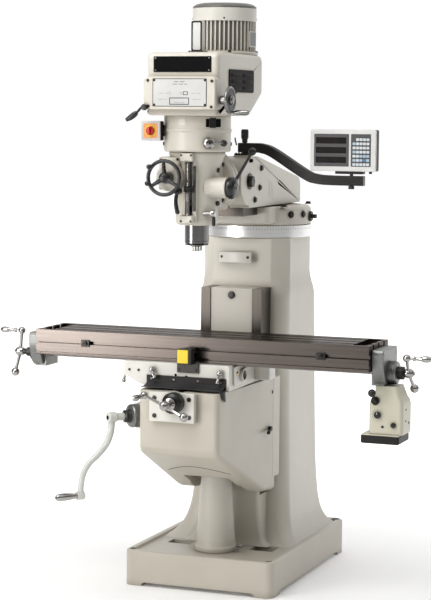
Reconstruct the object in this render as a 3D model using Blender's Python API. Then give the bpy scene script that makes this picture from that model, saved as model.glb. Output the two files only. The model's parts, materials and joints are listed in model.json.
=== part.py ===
"""Vertical turret milling machine: bed-height table on a knee, ram-mounted swivelling head.

Everything is drawn in the machine's own working frame: X = 0 on the centre plane of the
column and spindle, Y = 0 on the front of the column ways (+Y to the back), Z = 0 on the floor.
The root empty then carries the whole machine so that the middle of its outline stands on
the origin.  Metres, +Z up.
"""
import bpy, bmesh, math
from mathutils import Vector, Matrix

# ------------------------------------------------------------------ driving dimensions
SHIFT = (-0.0190, 0.1005, 0.0)      # working frame -> outline centre
GAP = 0.0003                        # running clearance between touching pieces

BASE_W, BASE_Y0, BASE_Y1, BASE_H = 0.567, -0.317, 0.519, 0.129
RIM = 0.012                         # base rim standing above the sunk floor of the base
WAY_OUT, WAY_IN, WAY_D, WAY_TOP = 0.118, 0.081, 0.165, 1.060
COL_CY, COL_R, COL_TOP = 0.284, 0.2075, 1.2400
RING_R, RING_TOP = 0.2015, 1.2850
TURRET_R, TURRET_TOP = 0.1990, 1.3560
SCREW_Y = -0.133                    # elevating screw stands here, X = 0
PED_TOP = 0.414

TABLE_L, TABLE_W, TABLE_TOP, TABLE_T = 1.245, 0.229, 0.921, 0.090
TABLE_CX, TABLE_Y0 = 0.025, -0.397
TABLE_CY = TABLE_Y0 + TABLE_W / 2
SLOT_W, SLOT_PITCH, SLOT_D = 0.016, 0.0635, 0.030
XSCREW_Z = 0.800                    # X leadscrew height
XCRANK_Z = 0.822

SADDLE_Z0, SADDLE_Z1 = 0.743, 0.8307
SADDLE_X0, SADDLE_X1, SADDLE_Y0, SADDLE_Y1 = -0.237, 0.159, -0.430, -0.120
KNEE_TOP, KNEE_Y0, KNEE_WF, KNEE_WR = 0.7427, -0.505, 0.146, 0.175

SPINDLE_Y = -0.3425
QUILL_R, QUILL_TRAVEL = 0.04285, 0.127
PIVOT_Y, PIVOT_Z = -0.115, 1.455    # nod axis (along X); swivel axis (along Y) at same height
HEAD_Y0, HEAD_Y1, HEAD_W = -0.510, -0.045, 0.267
MOTOR_Y, MOTOR_R, MOTOR_TOP = -0.090, 0.113, 2.085
DRO_Y = -0.150

# ------------------------------------------------------------------ clear the scene
for o in list(bpy.data.objects):
    bpy.data.objects.remove(o, do_unlink=True)
COLL = bpy.context.scene.collection
ROOT = bpy.data.objects.new("machine_root", None)
ROOT.location = SHIFT
COLL.objects.link(ROOT)


# ------------------------------------------------------------------ materials
def mat(name, rgb, rough, metal):
    m = bpy.data.materials.new(name)
    m.use_nodes = True
    b = m.node_tree.nodes["Principled BSDF"]
    b.inputs["Base Color"].default_value = (*rgb, 1)
    b.inputs["Roughness"].default_value = rough
    b.inputs["Metallic"].default_value = metal
    return m


PAINT = ((0.66, 0.63, 0.55), 0.42, 0.0)
STEEL = ((0.30, 0.28, 0.26), 0.35, 1.0)
CHROME = ((0.72, 0.72, 0.72), 0.12, 1.0)
SILVER = ((0.60, 0.60, 0.60), 0.25, 1.0)
BLACK = ((0.02, 0.02, 0.02), 0.35, 0.0)
OXIDE = ((0.05, 0.05, 0.05), 0.40, 0.6)
CASTGREY = ((0.22, 0.22, 0.20), 0.50, 0.3)
WHITE = ((0.80, 0.79, 0.76), 0.40, 0.0)
YELLOW = ((0.85, 0.60, 0.02), 0.45, 0.0)
RED = ((0.65, 0.03, 0.02), 0.35, 0.0)
BRASS = ((0.55, 0.38, 0.15), 0.30, 1.0)


# ------------------------------------------------------------------ modelling helpers
def obj_from_bm(bm, name="tmp"):
    bmesh.ops.remove_doubles(bm, verts=bm.verts, dist=1e-7)
    bmesh.ops.recalc_face_normals(bm, faces=bm.faces)
    me = bpy.data.meshes.new(name)
    bm.to_mesh(me)
    bm.free()
    o = bpy.data.objects.new(name, me)
    COLL.objects.link(o)
    return o


def frame(axis, up=None):
    """Rotation whose local Z runs along axis."""
    z = Vector(axis).normalized()
    u = Vector(up) if up else (Vector((0, 0, 1)) if abs(z.z) < 0.9 else Vector((0, 1, 0)))
    x = u.cross(z).normalized()
    y = z.cross(x)
    return Matrix((x, y, z)).transposed().to_4x4()


def box(x0, x1, y0, y1, z0, z1):
    bm = bmesh.new()
    v = [bm.verts.new((x, y, z)) for x in (x0, x1) for y in (y0, y1) for z in (z0, z1)]
    for f in ((0, 1, 3, 2), (4, 6, 7, 5), (0, 4, 5, 1), (2, 3, 7, 6), (0, 2, 6, 4), (1, 5, 7, 3)):
        bm.faces.new([v[i] for i in f])
    return obj_from_bm(bm)


def loft(sections):
    """Skin closed rings (equal point counts) and cap both ends."""
    bm = bmesh.new()
    rings = [[bm.verts.new(p) for p in s] for s in sections]
    n = len(rings[0])
    for a, b in zip(rings, rings[1:]):
        for i in range(n):
            j = (i + 1) % n
            bm.faces.new((a[i], a[j], b[j], b[i]))
    bm.faces.new(rings[0])
    bm.faces.new(rings[-1])
    return obj_from_bm(bm)


def prism(pts, axis, a0, a1):
    """Extrude a polygon: axis 'x' takes (y,z), 'y' takes (x,z), 'z' takes (x,y)."""
    def put(p, a):
        return {"x": (a, p[0], p[1]), "y": (p[0], a, p[1]), "z": (p[0], p[1], a)}[axis]
    return loft([[put(p, a0) for p in pts], [put(p, a1) for p in pts]])


def sides(n):
    """Facets for a round piece: fine on the big diameters, coarse on small handles."""
    return 28 if n >= 40 else 20 if n >= 28 else 16 if n >= 22 else 12 if n >= 16 else 10 if n >= 14 else 8 if n >= 10 else 6


def turned(profile, at, axis=(0, 0, 1), n=20, up=None, closed=False):
    """Turn (radius, height) pairs round an axis.  closed=True joins last to first (a ring)."""
    n = sides(n)
    bm = bmesh.new()
    M = Matrix.Translation(at) @ frame(axis, up)
    rings = []
    for r, h in profile:
        if r < 1e-7:
            rings.append([bm.verts.new(M @ Vector((0, 0, h)))])
        else:
            rings.append([bm.verts.new(M @ Vector((r * math.cos(2 * math.pi * i / n),
                                                   r * math.sin(2 * math.pi * i / n), h))) for i in range(n)])
    pairs = list(zip(rings, rings[1:])) + ([(rings[-1], rings[0])] if closed else [])
    for a, b in pairs:
        for i in range(n):
            j = (i + 1) % n
            if len(a) == 1 and len(b) == 1:
                continue
            if len(a) == 1:
                bm.faces.new((a[0], b[j], b[i]))
            elif len(b) == 1:
                bm.faces.new((a[i], a[j], b[0]))
            else:
                bm.faces.new((a[i], a[j], b[j], b[i]))
    if not closed:
        if len(rings[0]) > 1:
            bm.faces.new(rings[0])
        if len(rings[-1]) > 1:
            bm.faces.new(rings[-1])
    return obj_from_bm(bm)


def cyl(p0, p1, r, n=20, r2=None):
    p0, p1 = Vector(p0), Vector(p1)
    d = p1 - p0
    return turned([(r, 0), (r if r2 is None else r2, d.length)], p0, d, n)


def ball(c, r, n=14, m=7):
    m = min(m, 5)
    prof = [(r * math.sin(math.pi * i / m), -r * math.cos(math.pi * i / m)) for i in range(m + 1)]
    prof[0], prof[-1] = (0, -r), (0, r)
    return turned(prof, c, (0, 0, 1), n)


def sweep(path, radius, n=10):
    """Round rod along a path; radius is a number or a function of 0..1."""
    n = sides(n)
    pts = [Vector(p) for p in path]
    rings, prev = [], None
    for i, p in enumerate(pts):
        t = (pts[min(i + 1, len(pts) - 1)] - pts[max(i - 1, 0)]).normalized()
        if prev is None:
            a = Vector((0, 0, 1)) if abs(t.z) < 0.9 else Vector((1, 0, 0))
            x = a.cross(t).normalized()
        else:
            x = (prev - t * prev.dot(t)).normalized()
        prev = x
        y = t.cross(x)
        r = radius(i / (len(pts) - 1)) if callable(radius) else radius
        rings.append([p + x * r * math.cos(2 * math.pi * k / n) + y * r * math.sin(2 * math.pi * k / n) for k in range(n)])
    return loft(rings)


def rrect(cx, cy, hx, hy, r, z, k=4):
    """Rounded rectangle ring in plan, 4*(k+1) points."""
    pts = []
    for q, (sx, sy) in enumerate(((1, 1), (-1, 1), (-1, -1), (1, -1))):
        for i in range(k + 1):
            a = math.pi / 2 * (q + i / k)
            pts.append((cx + sx * (hx - r) + r * math.cos(a), cy + sy * (hy - r) + r * math.sin(a), z))
    return pts


def boolean(a, others, op):
    for b in others:
        m = a.modifiers.new("b", "BOOLEAN")
        m.operation, m.solver, m.object = op, "EXACT", b
        dg = bpy.context.evaluated_depsgraph_get()
        me = bpy.data.meshes.new_from_object(a.evaluated_get(dg))
        a.modifiers.clear()
        old = a.data
        a.data = me
        bpy.data.meshes.remove(old)
        bpy.data.objects.remove(b, do_unlink=True)
    return a


def union(a, *others):
    return boolean(a, others, "UNION")


def cut(a, *others):
    return boolean(a, others, "DIFFERENCE")


NODES = {}


def node(o, name, look, origin=(0, 0, 0), smooth=True):
    """Give a piece its name, material and origin (its joint axis where it moves)."""
    T = Vector(origin)
    o.data.transform(Matrix.Translation(-T))
    o.location = T
    o.parent = ROOT
    o.name = name
    o.data.name = name
    o.data.materials.clear()
    o.data.materials.append(mat(name + "_finish", *look))
    if smooth:
        o.data.shade_smooth()
        o.data.set_sharp_from_angle(angle=math.radians(35))
    NODES[name] = o
    return o


def ball_crank(hub, axis, arm, half, grip_sign, bore_r, reach=0.024, grip_len=0.075, n=12):
    """Two-ball crank handle: hub, tapered arm with a ball at each end, turned grip on one."""
    hub, axis, arm = Vector(hub), Vector(axis).normalized(), Vector(arm).normalized()
    a, b = hub + arm * half * grip_sign, hub - arm * half * grip_sign
    off = axis * 0.006
    o = turned([(0.0, -0.016), (0.013, -0.016), (0.016, -0.006), (0.016, 0.008), (0.010, 0.016), (0.0, 0.018)], hub, axis, n)
    o = union(o, sweep([b + off, hub, a + off], lambda t: 0.0062 - 0.0012 * abs(2 * t - 1), 8))
    o = union(o, ball(a + off, 0.0135, n, 6))
    o = union(o, ball(b + off, 0.0155, n, 6))
    g0 = a + off + axis * 0.010
    L = grip_len
    o = union(o, turned([(0.0045, 0), (0.0050, 0.010), (0.0085, 0.014), (0.0085, 0.018), (0.0055, 0.022), (0.0085, 0.45 * L + 0.01),
                         (0.0115, 0.75 * L), (0.0085, 0.95 * L), (0.0, L + 0.004)], g0, axis, n))
    return o


# ================================================================== COLUMN AND BASE
def base_col():
    o = loft([rrect(0, 0.101, BASE_W / 2, 0.418, 0.022, z, 3) for z in (0.0, BASE_H)])
    # the floor of the base is sunk inside a rim, and four feet are left standing below
    sink = loft([rrect(0, 0.101, BASE_W / 2 - 0.022, 0.418 - 0.022, 0.012, z, 3) for z in (BASE_H - RIM, BASE_H + 0.02)])
    o = cut(o, sink,
            box(-0.215, 0.215, -0.40, 0.60, -0.01, 0.014),
            box(-0.40, 0.40, -0.235, 0.437, -0.01, 0.014))
    # column: flared foot, tapering up to the round top
    secs = [(0.108, 0.262, 0.000, 0.507, 0.03), (0.122, 0.250, 0.008, 0.500, 0.04), (0.150, 0.226, 0.035, 0.492, 0.045), (0.190, 0.208, 0.062, 0.487, 0.045),
            (0.250, 0.196, 0.082, 0.485, 0.045), (0.400, 0.186, 0.098, 0.484, 0.045), (0.700, 0.180, 0.101, 0.482, 0.045),
            (1.020, 0.176, 0.101, 0.480, 0.05)]
    c = loft([rrect(0, (y0 + y1) / 2, w, (y1 - y0) / 2, r, z, 5) for z, w, y0, y1, r in secs])
    o = union(o, c)
    # ways: two ground rails standing in front of the column
    for s in (-1, 1):
        x0, x1 = sorted((s * WAY_IN, s * WAY_OUT))
        o = union(o, box(x0, x1, 0.0, 0.16, 0.30, WAY_TOP))
    o = union(o, turned([(COL_R - 0.004, 1.000), (COL_R, 1.06), (COL_R, COL_TOP - GAP)], (0, COL_CY, 0), (0, 0, 1), 40))
    # drain and bolt-down openings in the base floor, bore for the elevating screw
    o = cut(o, box(-0.205, -0.115, -0.100, -0.040, 0.08, 0.2), box(0.115, 0.205, -0.100, -0.020, 0.08, 0.2),
            cyl((0, SCREW_Y, -0.01), (0, SCREW_Y, 0.2), 0.030, 16))
    for x, y in ((-0.256, -0.288), (0.256, -0.288), (-0.256, 0.490), (0.256, 0.490)):
        o = cut(o, cyl((x, y, -0.01), (x, y, 0.16), 0.009, 8))
    return o


node(base_col(), "column_casting", PAINT)

ped = turned([(0.078, BASE_H - RIM + GAP), (0.078, BASE_H + 0.004), (0.071, BASE_H + 0.010), (0.054, PED_TOP), (0.030, PED_TOP), (0.030, BASE_H - RIM + GAP)],
             (0, SCREW_Y, 0), (0, 0, 1), 24, closed=True)
node(ped, "pedestal_tube", PAINT)
nut = turned([(0.0296, PED_TOP - 0.045), (0.0296, PED_TOP + GAP), (0.048, PED_TOP + GAP), (0.048, PED_TOP + 0.012), (0.0228, PED_TOP + 0.012), (0.0228, PED_TOP - 0.045)],
             (0, SCREW_Y, 0), (0, 0, 1), 24, closed=True)
node(nut, "elevating_nut", BRASS)

ring = turned([(RING_R, COL_TOP), (RING_R, RING_TOP - GAP), (0.120, RING_TOP - GAP), (0.120, COL_TOP)], (0, COL_CY, 0), (0, 0, 1), 40, closed=True)
node(ring, "column_top_ring", SILVER)

# ================================================================== TURRET AND RAM
RAM_BW = 0.080                       # ram foot half width in the turret's bed
t = turned([(TURRET_R, RING_TOP), (TURRET_R, TURRET_TOP - 0.012), (TURRET_R - 0.010, TURRET_TOP)], (0, COL_CY, 0), (0, 0, 1), 36)
t = union(t, box(-0.125, 0.125, COL_CY - 0.235, COL_CY, RING_TOP + 0.010, TURRET_TOP))
t = union(t, turned([(0.119, COL_TOP + 0.005), (0.119, RING_TOP + 0.005)], (0, COL_CY, 0), (0, 0, 1), 20))
t = cut(t, box(-RAM_BW - GAP, RAM_BW + GAP, -0.2, 0.8, 1.328, 1.4),
        cyl((0.12, 0.300, 1.315), (0.3, 0.300, 1.315), 0.0134, 12))
for y in (0.175, 0.235):
    t = union(t, cyl((0.150, y, 1.325), (0.196 if y < .2 else 0.202, y, 1.325), 0.010, 6))
node(t, "turret", PAINT, (0, COL_CY, RING_TOP))

pin = union(cyl((0.125, 0.300, 1.315), (0.202, 0.300, 1.315), 0.0120, 12), cyl((0.201, 0.300, 1.315), (0.208, 0.300, 1.315), 0.019, 14),
            box(0.206, 0.226, 0.2935, 0.3065, 1.3085, 1.3215))
node(pin, "ram_pinion", BLACK, (0.2, 0.300, 1.315))

side = [(-0.118, 1.3605), (-0.118, 1.500), (-0.098, 1.535), (-0.045, 1.546), (0.430, 1.456), (0.446, 1.440), (0.448, 1.3605)]
r = prism(side, "x", -0.110, 0.110)
r = union(r, box(-RAM_BW, RAM_BW, -0.100, 0.440, 1.3285, 1.370), box(0.050, 0.110, -0.122, -0.078, 1.525, 1.5472))
r = union(r, cyl((-0.110, PIVOT_Y, PIVOT_Z), (0.110, PIVOT_Y, PIVOT_Z), 0.086, 28))
r = cut(r, box(-0.0363, 0.0363, -0.25, -0.020, 1.30, 1.62), cyl((-0.2, PIVOT_Y, PIVOT_Z), (0.2, PIVOT_Y, PIVOT_Z), 0.0163, 16))
node(r, "ram", PAINT, (0, 0, 1.36))
pp = union(cyl((-0.118, PIVOT_Y, PIVOT_Z), (0.118, PIVOT_Y, PIVOT_Z), 0.016, 16), cyl((0.1103, PIVOT_Y, PIVOT_Z), (0.126, PIVOT_Y, PIVOT_Z), 0.024, 6),
           cyl((-0.126, PIVOT_Y, PIVOT_Z), (-0.1103, PIVOT_Y, PIVOT_Z), 0.024, 6))
node(pp, "nod_pivot_bolt", OXIDE)

FLG = -0.2060                        # back face of the adapter's disc
a = turned([(0.105, 0), (0.107, 0.004), (0.107, 0.028)], (0, FLG, PIVOT_Z), (0, -1, 0), 32)
a = union(a, box(-0.036, 0.036, FLG - 0.010, PIVOT_Y, PIVOT_Z - 0.070, PIVOT_Z + 0.070), cyl((-0.036, PIVOT_Y, PIVOT_Z), (0.036, PIVOT_Y, PIVOT_Z), 0.070, 24))
a = cut(a, cyl((-0.2, PIVOT_Y, PIVOT_Z), (0.2, PIVOT_Y, PIVOT_Z), 0.0171, 16))
node(a, "ram_adapter", PAINT, (0, PIVOT_Y, PIVOT_Z))

# ================================================================== HEAD
HB = FLG - 0.028 - GAP               # head flange's back face
QB = 1.309                           # bottom of the quill housing
qh = turned([(0.070, QB), (0.075, QB + 0.010), (0.075, 1.500), (0.090, 1.535), (0.098, 1.5627)], (0, SPINDLE_Y, 0), (0, 0, 1), 28)
qh = union(qh, turned([(0.106, 0), (0.106, 0.022), (0.096, 0.030)], (0, HB, PIVOT_Z), (0, -1, 0), 32))
qh = union(qh, box(-0.062, 0.062, HB - 0.060, HB - 0.010, 1.375, 1.555))
qh = union(qh, cyl((0.05, -0.360, 1.440), (0.122, -0.360, 1.440), 0.036, 20))
# front boss that carries the stop rod, and the fine-feed gear case on the left
qh = union(qh, box(-0.022, 0.026, -0.452, -0.380, 1.318, 1.345), box(-0.022, 0.026, -0.452, -0.380, 1.530, 1.560))
qh = union(qh, cyl((-0.060, -0.456, 1.475), (-0.060, -0.380, 1.475), 0.048, 20), box(-0.110, -0.030, -0.430, -0.330, 1.430, 1.545))
qh = cut(qh, cyl((0, SPINDLE_Y, 1.20), (0, SPINDLE_Y, 1.70), QUILL_R + GAP, 28),
         cyl((0.004, -0.436, 1.2), (0.004, -0.436, 1.7), 0.0068, 12),
         box(-0.0065, 0.0145, -0.437, -0.30, 1.345, 1.530),
         cyl((0.03, -0.360, 1.440), (0.20, -0.360, 1.440), 0.0126, 24),
         cyl((-0.060, -0.50, 1.475), (-0.060, -0.360, 1.475), 0.0108, 18),
         cyl((0.03, -0.400, 1.352), (0.12, -0.400, 1.352), 0.0069, 10))
node(qh, "quill_housing", PAINT, (0, HB, PIVOT_Z))

# the range lever stands 40 degrees round the gear housing from its front
RL_C = Vector((0, SPINDLE_Y, 1.594))
RL_N = Vector((math.sin(math.radians(40)), -math.cos(math.radians(40)), 0))
RL_T = Vector((-RL_N.y, RL_N.x, 0))
gh = turned([(0.112, 1.563), (0.116, 1.569), (0.116, 1.630), (0.119, 1.634), (0.119, 1.640), (0.116, 1.644), (0.116, 1.6867)], (0, SPINDLE_Y, 0), (0, 0, 1), 32)
gh = union(gh, box(-0.060, 0.060, SPINDLE_Y, -0.215, 1.575, 1.680))
gh = cut(gh, turned([(0.024, 1.50), (0.024, 1.575), (0.085, 1.578), (0.085, 1.660), (0.060, 1.664), (0.060, 1.70)], (0, SPINDLE_Y, 0), (0, 0, 1), 24),
         cyl(RL_C + RL_N * 0.060, RL_C + RL_N * 0.140, 0.0091, 12))
node(gh, "gear_housing", PAINT)

# belt housing: rear chamfered shell, open underneath over the gear housing
Z0, Z1, ZT = 1.687, 1.820, 1.9015
bside = [(-0.484, Z0), (-0.170, Z0), (-0.045, 1.764), (-0.045, 1.885), (-0.060, ZT), (-0.484, ZT)]
bh = prism(bside, "x", -0.1315, 0.1315)
bh = union(bh, box(-HEAD_W / 2, HEAD_W / 2, HEAD_Y0, -0.470, 1.7075, Z1))
bh = cut(bh, prism([(-0.50, ZT - 0.02), (-0.50, ZT + 0.02), (-0.44, ZT + 0.02)], "x", -0.2, 0.2))
bh = cut(bh, prism([(-0.14, 1.875), (-0.108, ZT + 0.02), (-0.16, ZT + 0.02)], "y", -0.6, 0.0), prism([(0.14, 1.875), (0.108, ZT + 0.02), (0.16, ZT + 0.02)], "y", -0.6, 0.0))
inner = prism([(-0.466, 1.700), (-0.180, 1.700), (-0.060, 1.775), (-0.060, 1.872), (-0.466, 1.872)], "x", -0.119, 0.119)
bh = cut(bh, inner, cyl((0, SPINDLE_Y, 1.60), (0, SPINDLE_Y, 1.72), 0.095, 28),
         cyl((0, MOTOR_Y, 1.80), (0, MOTOR_Y, 1.95), 0.016, 14), cyl((0, SPINDLE_Y, 1.80), (0, SPINDLE_Y, 1.95), 0.020, 14),
         cyl((0.10, -0.474, 1.740), (0.20, -0.474, 1.740), 0.0087, 16), cyl((-0.1255, -0.60, 1.7145), (-0.1255, -0.45, 1.7145), 0.0058, 10))
node(bh, "belt_housing", PAINT)

node(box(-0.105, 0.105, -0.4855 - 0.0010, -0.4843, 1.834, 1.887), "nameplate", BLACK)
lv = box(0.1318, 0.1365, -0.389, -0.147, 1.768, 1.846)
for i in range(3):
    for j in range(2):
        y0 = -0.372 + 0.112 * j
        lv = union(lv, prism([(0.1350, 1.777 + 0.022 * i), (0.1415, 1.781 + 0.022 * i), (0.1350, 1.790 + 0.022 * i)], "y", y0, y0 + 0.095))
node(lv, "louvre_panel", BLACK)

# motor: flange, finned body, fan cover with a cap
mb = turned([(0.120, ZT + GAP), (0.120, ZT + 0.010), (0.100, ZT + 0.016), (0.100, 2.020)], (0, MOTOR_Y, 0), (0, 0, 1), 36)
fins = 18
for i in range(fins):
    a0 = 2 * math.pi * (i + 0.5) / fins
    b = box(-0.0022, 0.0022, 0.095, MOTOR_R, ZT + 0.018, 2.012)
    b.data.transform(Matrix.Translation((0, MOTOR_Y, 0)) @ Matrix.Rotation(a0, 4, "Z"))
    mb = union(mb, b)
node(mb, "motor_body", PAINT)
fc = turned([(MOTOR_R + 0.001, 2.0205), (MOTOR_R + 0.001, 2.064), (0.110, 2.072), (0.101, 2.080), (0.085, MOTOR_TOP), (0.0, MOTOR_TOP)], (0, MOTOR_Y, 0), (0, 0, 1), 36)
fc = cut(fc, turned([(0.1095, 2.010), (0.1095, 2.060), (0.099, 2.074), (0.0, 2.074)], (0, MOTOR_Y, 0), (0, 0, 1), 24))
node(fc, "motor_fan_cover", PAINT)
mp = turned([(0.012, 1.782), (0.026, 1.782), (0.020, 1.794), (0.026, 1.806), (0.012, 1.806), (0.012, 1.899)], (0, MOTOR_Y, 0), (0, 0, 1), 18)
node(mp, "motor_pulley", OXIDE, (0, MOTOR_Y, 1.79))
sp = turned([(0.0153, 1.700), (0.026, 1.700), (0.026, 1.776), (0.084, 1.776), (0.076, 1.794), (0.084, 1.812), (0.0153, 1.812)], (0, SPINDLE_Y, 0), (0, 0, 1), 24, closed=True)
node(sp, "spindle_pulley", OXIDE, (0, SPINDLE_Y, 1.79))


def belt_ring(rm, rs, z0, z1):
    """Closed belt outline round two pulleys of radius rm (motor) and rs (spindle)."""
    d = MOTOR_Y - SPINDLE_Y
    b = math.asin((rs - rm) / d)
    pts = []
    for i in range(9):
        a = -(math.pi / 2 - b) + (math.pi - 2 * b) * i / 8
        pts.append((rm * math.sin(a), MOTOR_Y + rm * math.cos(a)))
    for i in range(17):
        a = (math.pi / 2 - b) + (math.pi + 2 * b) * i / 16
        pts.append((rs * math.sin(a), SPINDLE_Y + rs * math.cos(a)))
    return pts


bo = prism(belt_ring(0.0270, 0.0860, 0, 0), "z", 1.789, 1.799)
bo = cut(bo, prism(belt_ring(0.0232, 0.0812, 0, 0), "z", 1.78, 1.81))
node(bo, "drive_belt", BLACK)

# drawbar guard: a strap bent into an inverted U over the drawbar
gd = prism([(-0.0195, ZT + GAP), (0.0195, ZT + GAP), (0.0195, 2.004), (0.0125, 2.012), (-0.0125, 2.012), (-0.0195, 2.004)], "y", SPINDLE_Y - 0.0155, SPINDLE_Y + 0.0155)
gd = cut(gd, prism([(-0.0162, 1.80), (0.0162, 1.80), (0.0162, 2.0025), (0.0110, 2.0085), (-0.0110, 2.0085), (-0.0162, 2.0025)], "y", -0.5, -0.2))
# two straps joined by the top only, so they are tied by a foot plate with a hole for the drawbar
fp = cut(box(-0.028, 0.028, SPINDLE_Y - 0.026, SPINDLE_Y + 0.026, ZT + GAP, ZT + 0.006), cyl((0, SPINDLE_Y, 1.8), (0, SPINDLE_Y, 1.95), 0.0150, 14))
node(union(gd, fp), "drawbar_guard", OXIDE)

# power switch on the left of the head
sb = union(box(-0.163, -0.094, -0.456, -0.415, 1.600, 1.668), box(-0.135, -0.100, -0.4155, -0.395, 1.615, 1.655))
sb = cut(sb, cyl((-0.1285, -0.50, 1.634), (-0.1285, -0.43, 1.634), 0.0058, 10))
sb = cut(sb, turned([(0.1196, 1.5), (0.1196, 1.70)], (0, SPINDLE_Y, 0), (0, 0, 1), 32))
node(sb, "switch_box", BLACK)
sk = union(turned([(0.0155, 0.0), (0.0155, 0.006), (0.013, 0.010)], (-0.1285, -0.4563, 1.634), (0, -1, 0), 16), cyl((-0.1285, -0.4575, 1.634), (-0.1285, -0.435, 1.634), 0.005, 10))
sk = union(sk, box(-0.1285 - 0.0045, -0.1285 + 0.0045, -0.476, -0.464, 1.634 - 0.013, 1.634 + 0.013))
node(sk, "switch_knob", RED, (-0.1285, -0.456, 1.634))

# spindle brake lever on the left of the belt housing
bl = union(cyl((-0.1255, -0.521, 1.7145), (-0.1255, -0.485, 1.7145), 0.0050, 10), cyl((-0.1255, -0.523, 1.7145), (-0.1255, -0.5105, 1.7145), 0.011, 12))
bl = union(bl, sweep([(-0.1255, -0.517, 1.7145), (-0.150, -0.520, 1.697), (-0.160, -0.521, 1.690)], 0.0045, 8), sweep([(-0.152, -0.5205, 1.6958), (-0.172, -0.522, 1.681), (-0.190, -0.5235, 1.668)], lambda t: 0.0075 + 0.003 * math.sin(math.pi * t), 10))
node(bl, "brake_lever", CHROME, (-0.1255, -0.51, 1.7145))

# speed-change handwheel on the right
HW = (0.170, -0.474, 1.740)
hw = turned([(0.0385, -0.006), (0.0445, -0.006), (0.0470, 0.0), (0.0445, 0.006), (0.0385, 0.006)], HW, (1, 0, 0), 24, closed=True)
hw = union(hw, turned([(0.0405, -0.003), (0.0405, 0.003), (0.012, 0.003), (0.012, -0.003)], HW, (1, 0, 0), 24, closed=True))
hw = union(hw, turned([(0.0080, -0.052), (0.0080, -0.0366), (0.014, -0.034), (0.016, -0.010), (0.016, 0.010), (0.010, 0.013), (0.0, 0.013)], HW, (1, 0, 0), 16))
hw = union(hw, turned([(0.0045, 0), (0.0045, 0.010), (0.0075, 0.012), (0.0085, 0.030), (0.0075, 0.060), (0.0, 0.062)], (HW[0] + 0.003, HW[1] + 0.012, HW[2] - 0.041), (1, 0, 0), 12))
node(hw, "speed_handwheel", CHROME, HW)

# hi / lo range lever at the front right of the gear housing
hl = cyl(RL_C + RL_N * 0.090, RL_C + RL_N * 0.119, 0.0080, 12)
hl = union(hl, turned([(0.020, 0), (0.020, 0.012), (0.013, 0.018), (0.0, 0.019)], RL_C + RL_N * 0.1175, RL_N, 18))
hl = union(hl, sweep([RL_C + RL_N * 0.128, RL_C + RL_N * 0.130 + RL_T * 0.025, RL_C + RL_N * 0.1315 + RL_T * 0.045], 0.0045, 8), ball(RL_C + RL_N * 0.132 + RL_T * 0.052, 0.0115, 12, 6))
node(hl, "hi_lo_lever", CHROME, tuple(RL_C + RL_N * 0.1175))

# fine-feed handwheel, three spokes and two spinner knobs
FH = Vector((-0.060, -0.498, 1.475))
fh = turned([(0.058 + 0.0065 * math.cos(a), 0.0065 * math.sin(a)) for a in [2 * math.pi * k / 6 for k in range(6)]], FH, (0, -1, 0), 32, closed=True)
for k in range(3):
    a = math.radians(92 + 120 * k)
    d = Vector((math.cos(a), 0, math.sin(a)))
    fh = union(fh, sweep([FH + d * 0.008 + Vector((0, 0.004, 0)), FH + d * 0.058], lambda t: 0.0085 - 0.003 * t, 8))
fh = union(fh, turned([(0.0100, -0.110), (0.0100, -0.0415), (0.020, -0.0400), (0.020, -0.010), (0.016, 0.006), (0.010, 0.010), (0.0, 0.011)], FH, (0, -1, 0), 18))
for a, L in ((140, 0.030), (200, 0.020)):
    a = math.radians(a)
    p = FH + Vector((math.cos(a), 0, math.sin(a))) * 0.058
    fh = union(fh, turned([(0.0035, 0), (0.0035, 0.010), (0.0085, 0.016), (0.0085, L), (0.0, L + 0.006)], p, (0, -1, 0), 10))
node(fh, "fine_feed_handwheel", BLACK, FH)

# quill feed lever on its pinion shaft
QF = Vector((0.122, -0.360, 1.440))
ql = turned([(0.0120, -0.078), (0.0120, 0.002), (0.037, 0.003), (0.038, 0.020), (0.030, 0.030), (0.0, 0.033)], QF, (1, 0, 0), 24)
e = Vector((0.157, -0.216, 1.563))
s0 = QF + Vector((0.012, 0.015, 0.013))
ql = union(ql, sweep([s0, s0.lerp(e, 0.5), e], 0.0055, 8), ball(e, 0.014, 12, 6))
node(ql, "quill_feed_lever", BLACK, QF)

# power-feed trip lever, lower front left
FT = Vector((-0.020, -0.4700, 1.430))
ft = union(cyl(FT + Vector((0, 0.012, 0)), FT - Vector((0, 0.012, 0)), 0.012, 14), sweep([FT, FT + Vector((-0.006, -0.004, -0.040)), FT + Vector((0.002, -0.006, -0.078))], lambda t: 0.006 + 0.002 * t, 8))
ft = union(ft, cyl(FT + Vector((0, 0.028, 0)), FT, 0.0050, 10))
node(ft, "feed_trip_lever", BLACK, FT)

# quill lock
ll = union(cyl((0.045, -0.400, 1.352), (0.078, -0.400, 1.352), 0.0060, 10), turned([(0.0135, 0), (0.0135, 0.012), (0.0, 0.014)], (0.0775, -0.400, 1.352), (1, 0, 0), 14))
ll = union(ll, sweep([(0.084, -0.400, 1.352), (0.087, -0.404, 1.330), (0.088, -0.407, 1.312)], lambda t: 0.0045 + 0.002 * t, 8))
node(ll, "quill_lock_lever", OXIDE, (0.078, -0.400, 1.352))

# depth stop: threaded rod with its micrometer nut
node(cyl((0.004, -0.436, 1.319), (0.004, -0.436, 1.556), 0.0065, 12), "depth_stop_rod", CHROME)
dn = turned([(0.0072, 1.425), (0.0072, 1.447), (0.0135, 1.447), (0.0150, 1.444), (0.0150, 1.428), (0.0135, 1.425)], (0.004, -0.4365, 0), (0, 0, 1), 18, closed=True)
dn = cut(dn, cyl((0.004, -0.436, 1.4), (0.004, -0.436, 1.5), 0.0072, 12))
node(dn, "depth_stop_nut", OXIDE, (0.004, -0.436, 1.436))

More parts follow.
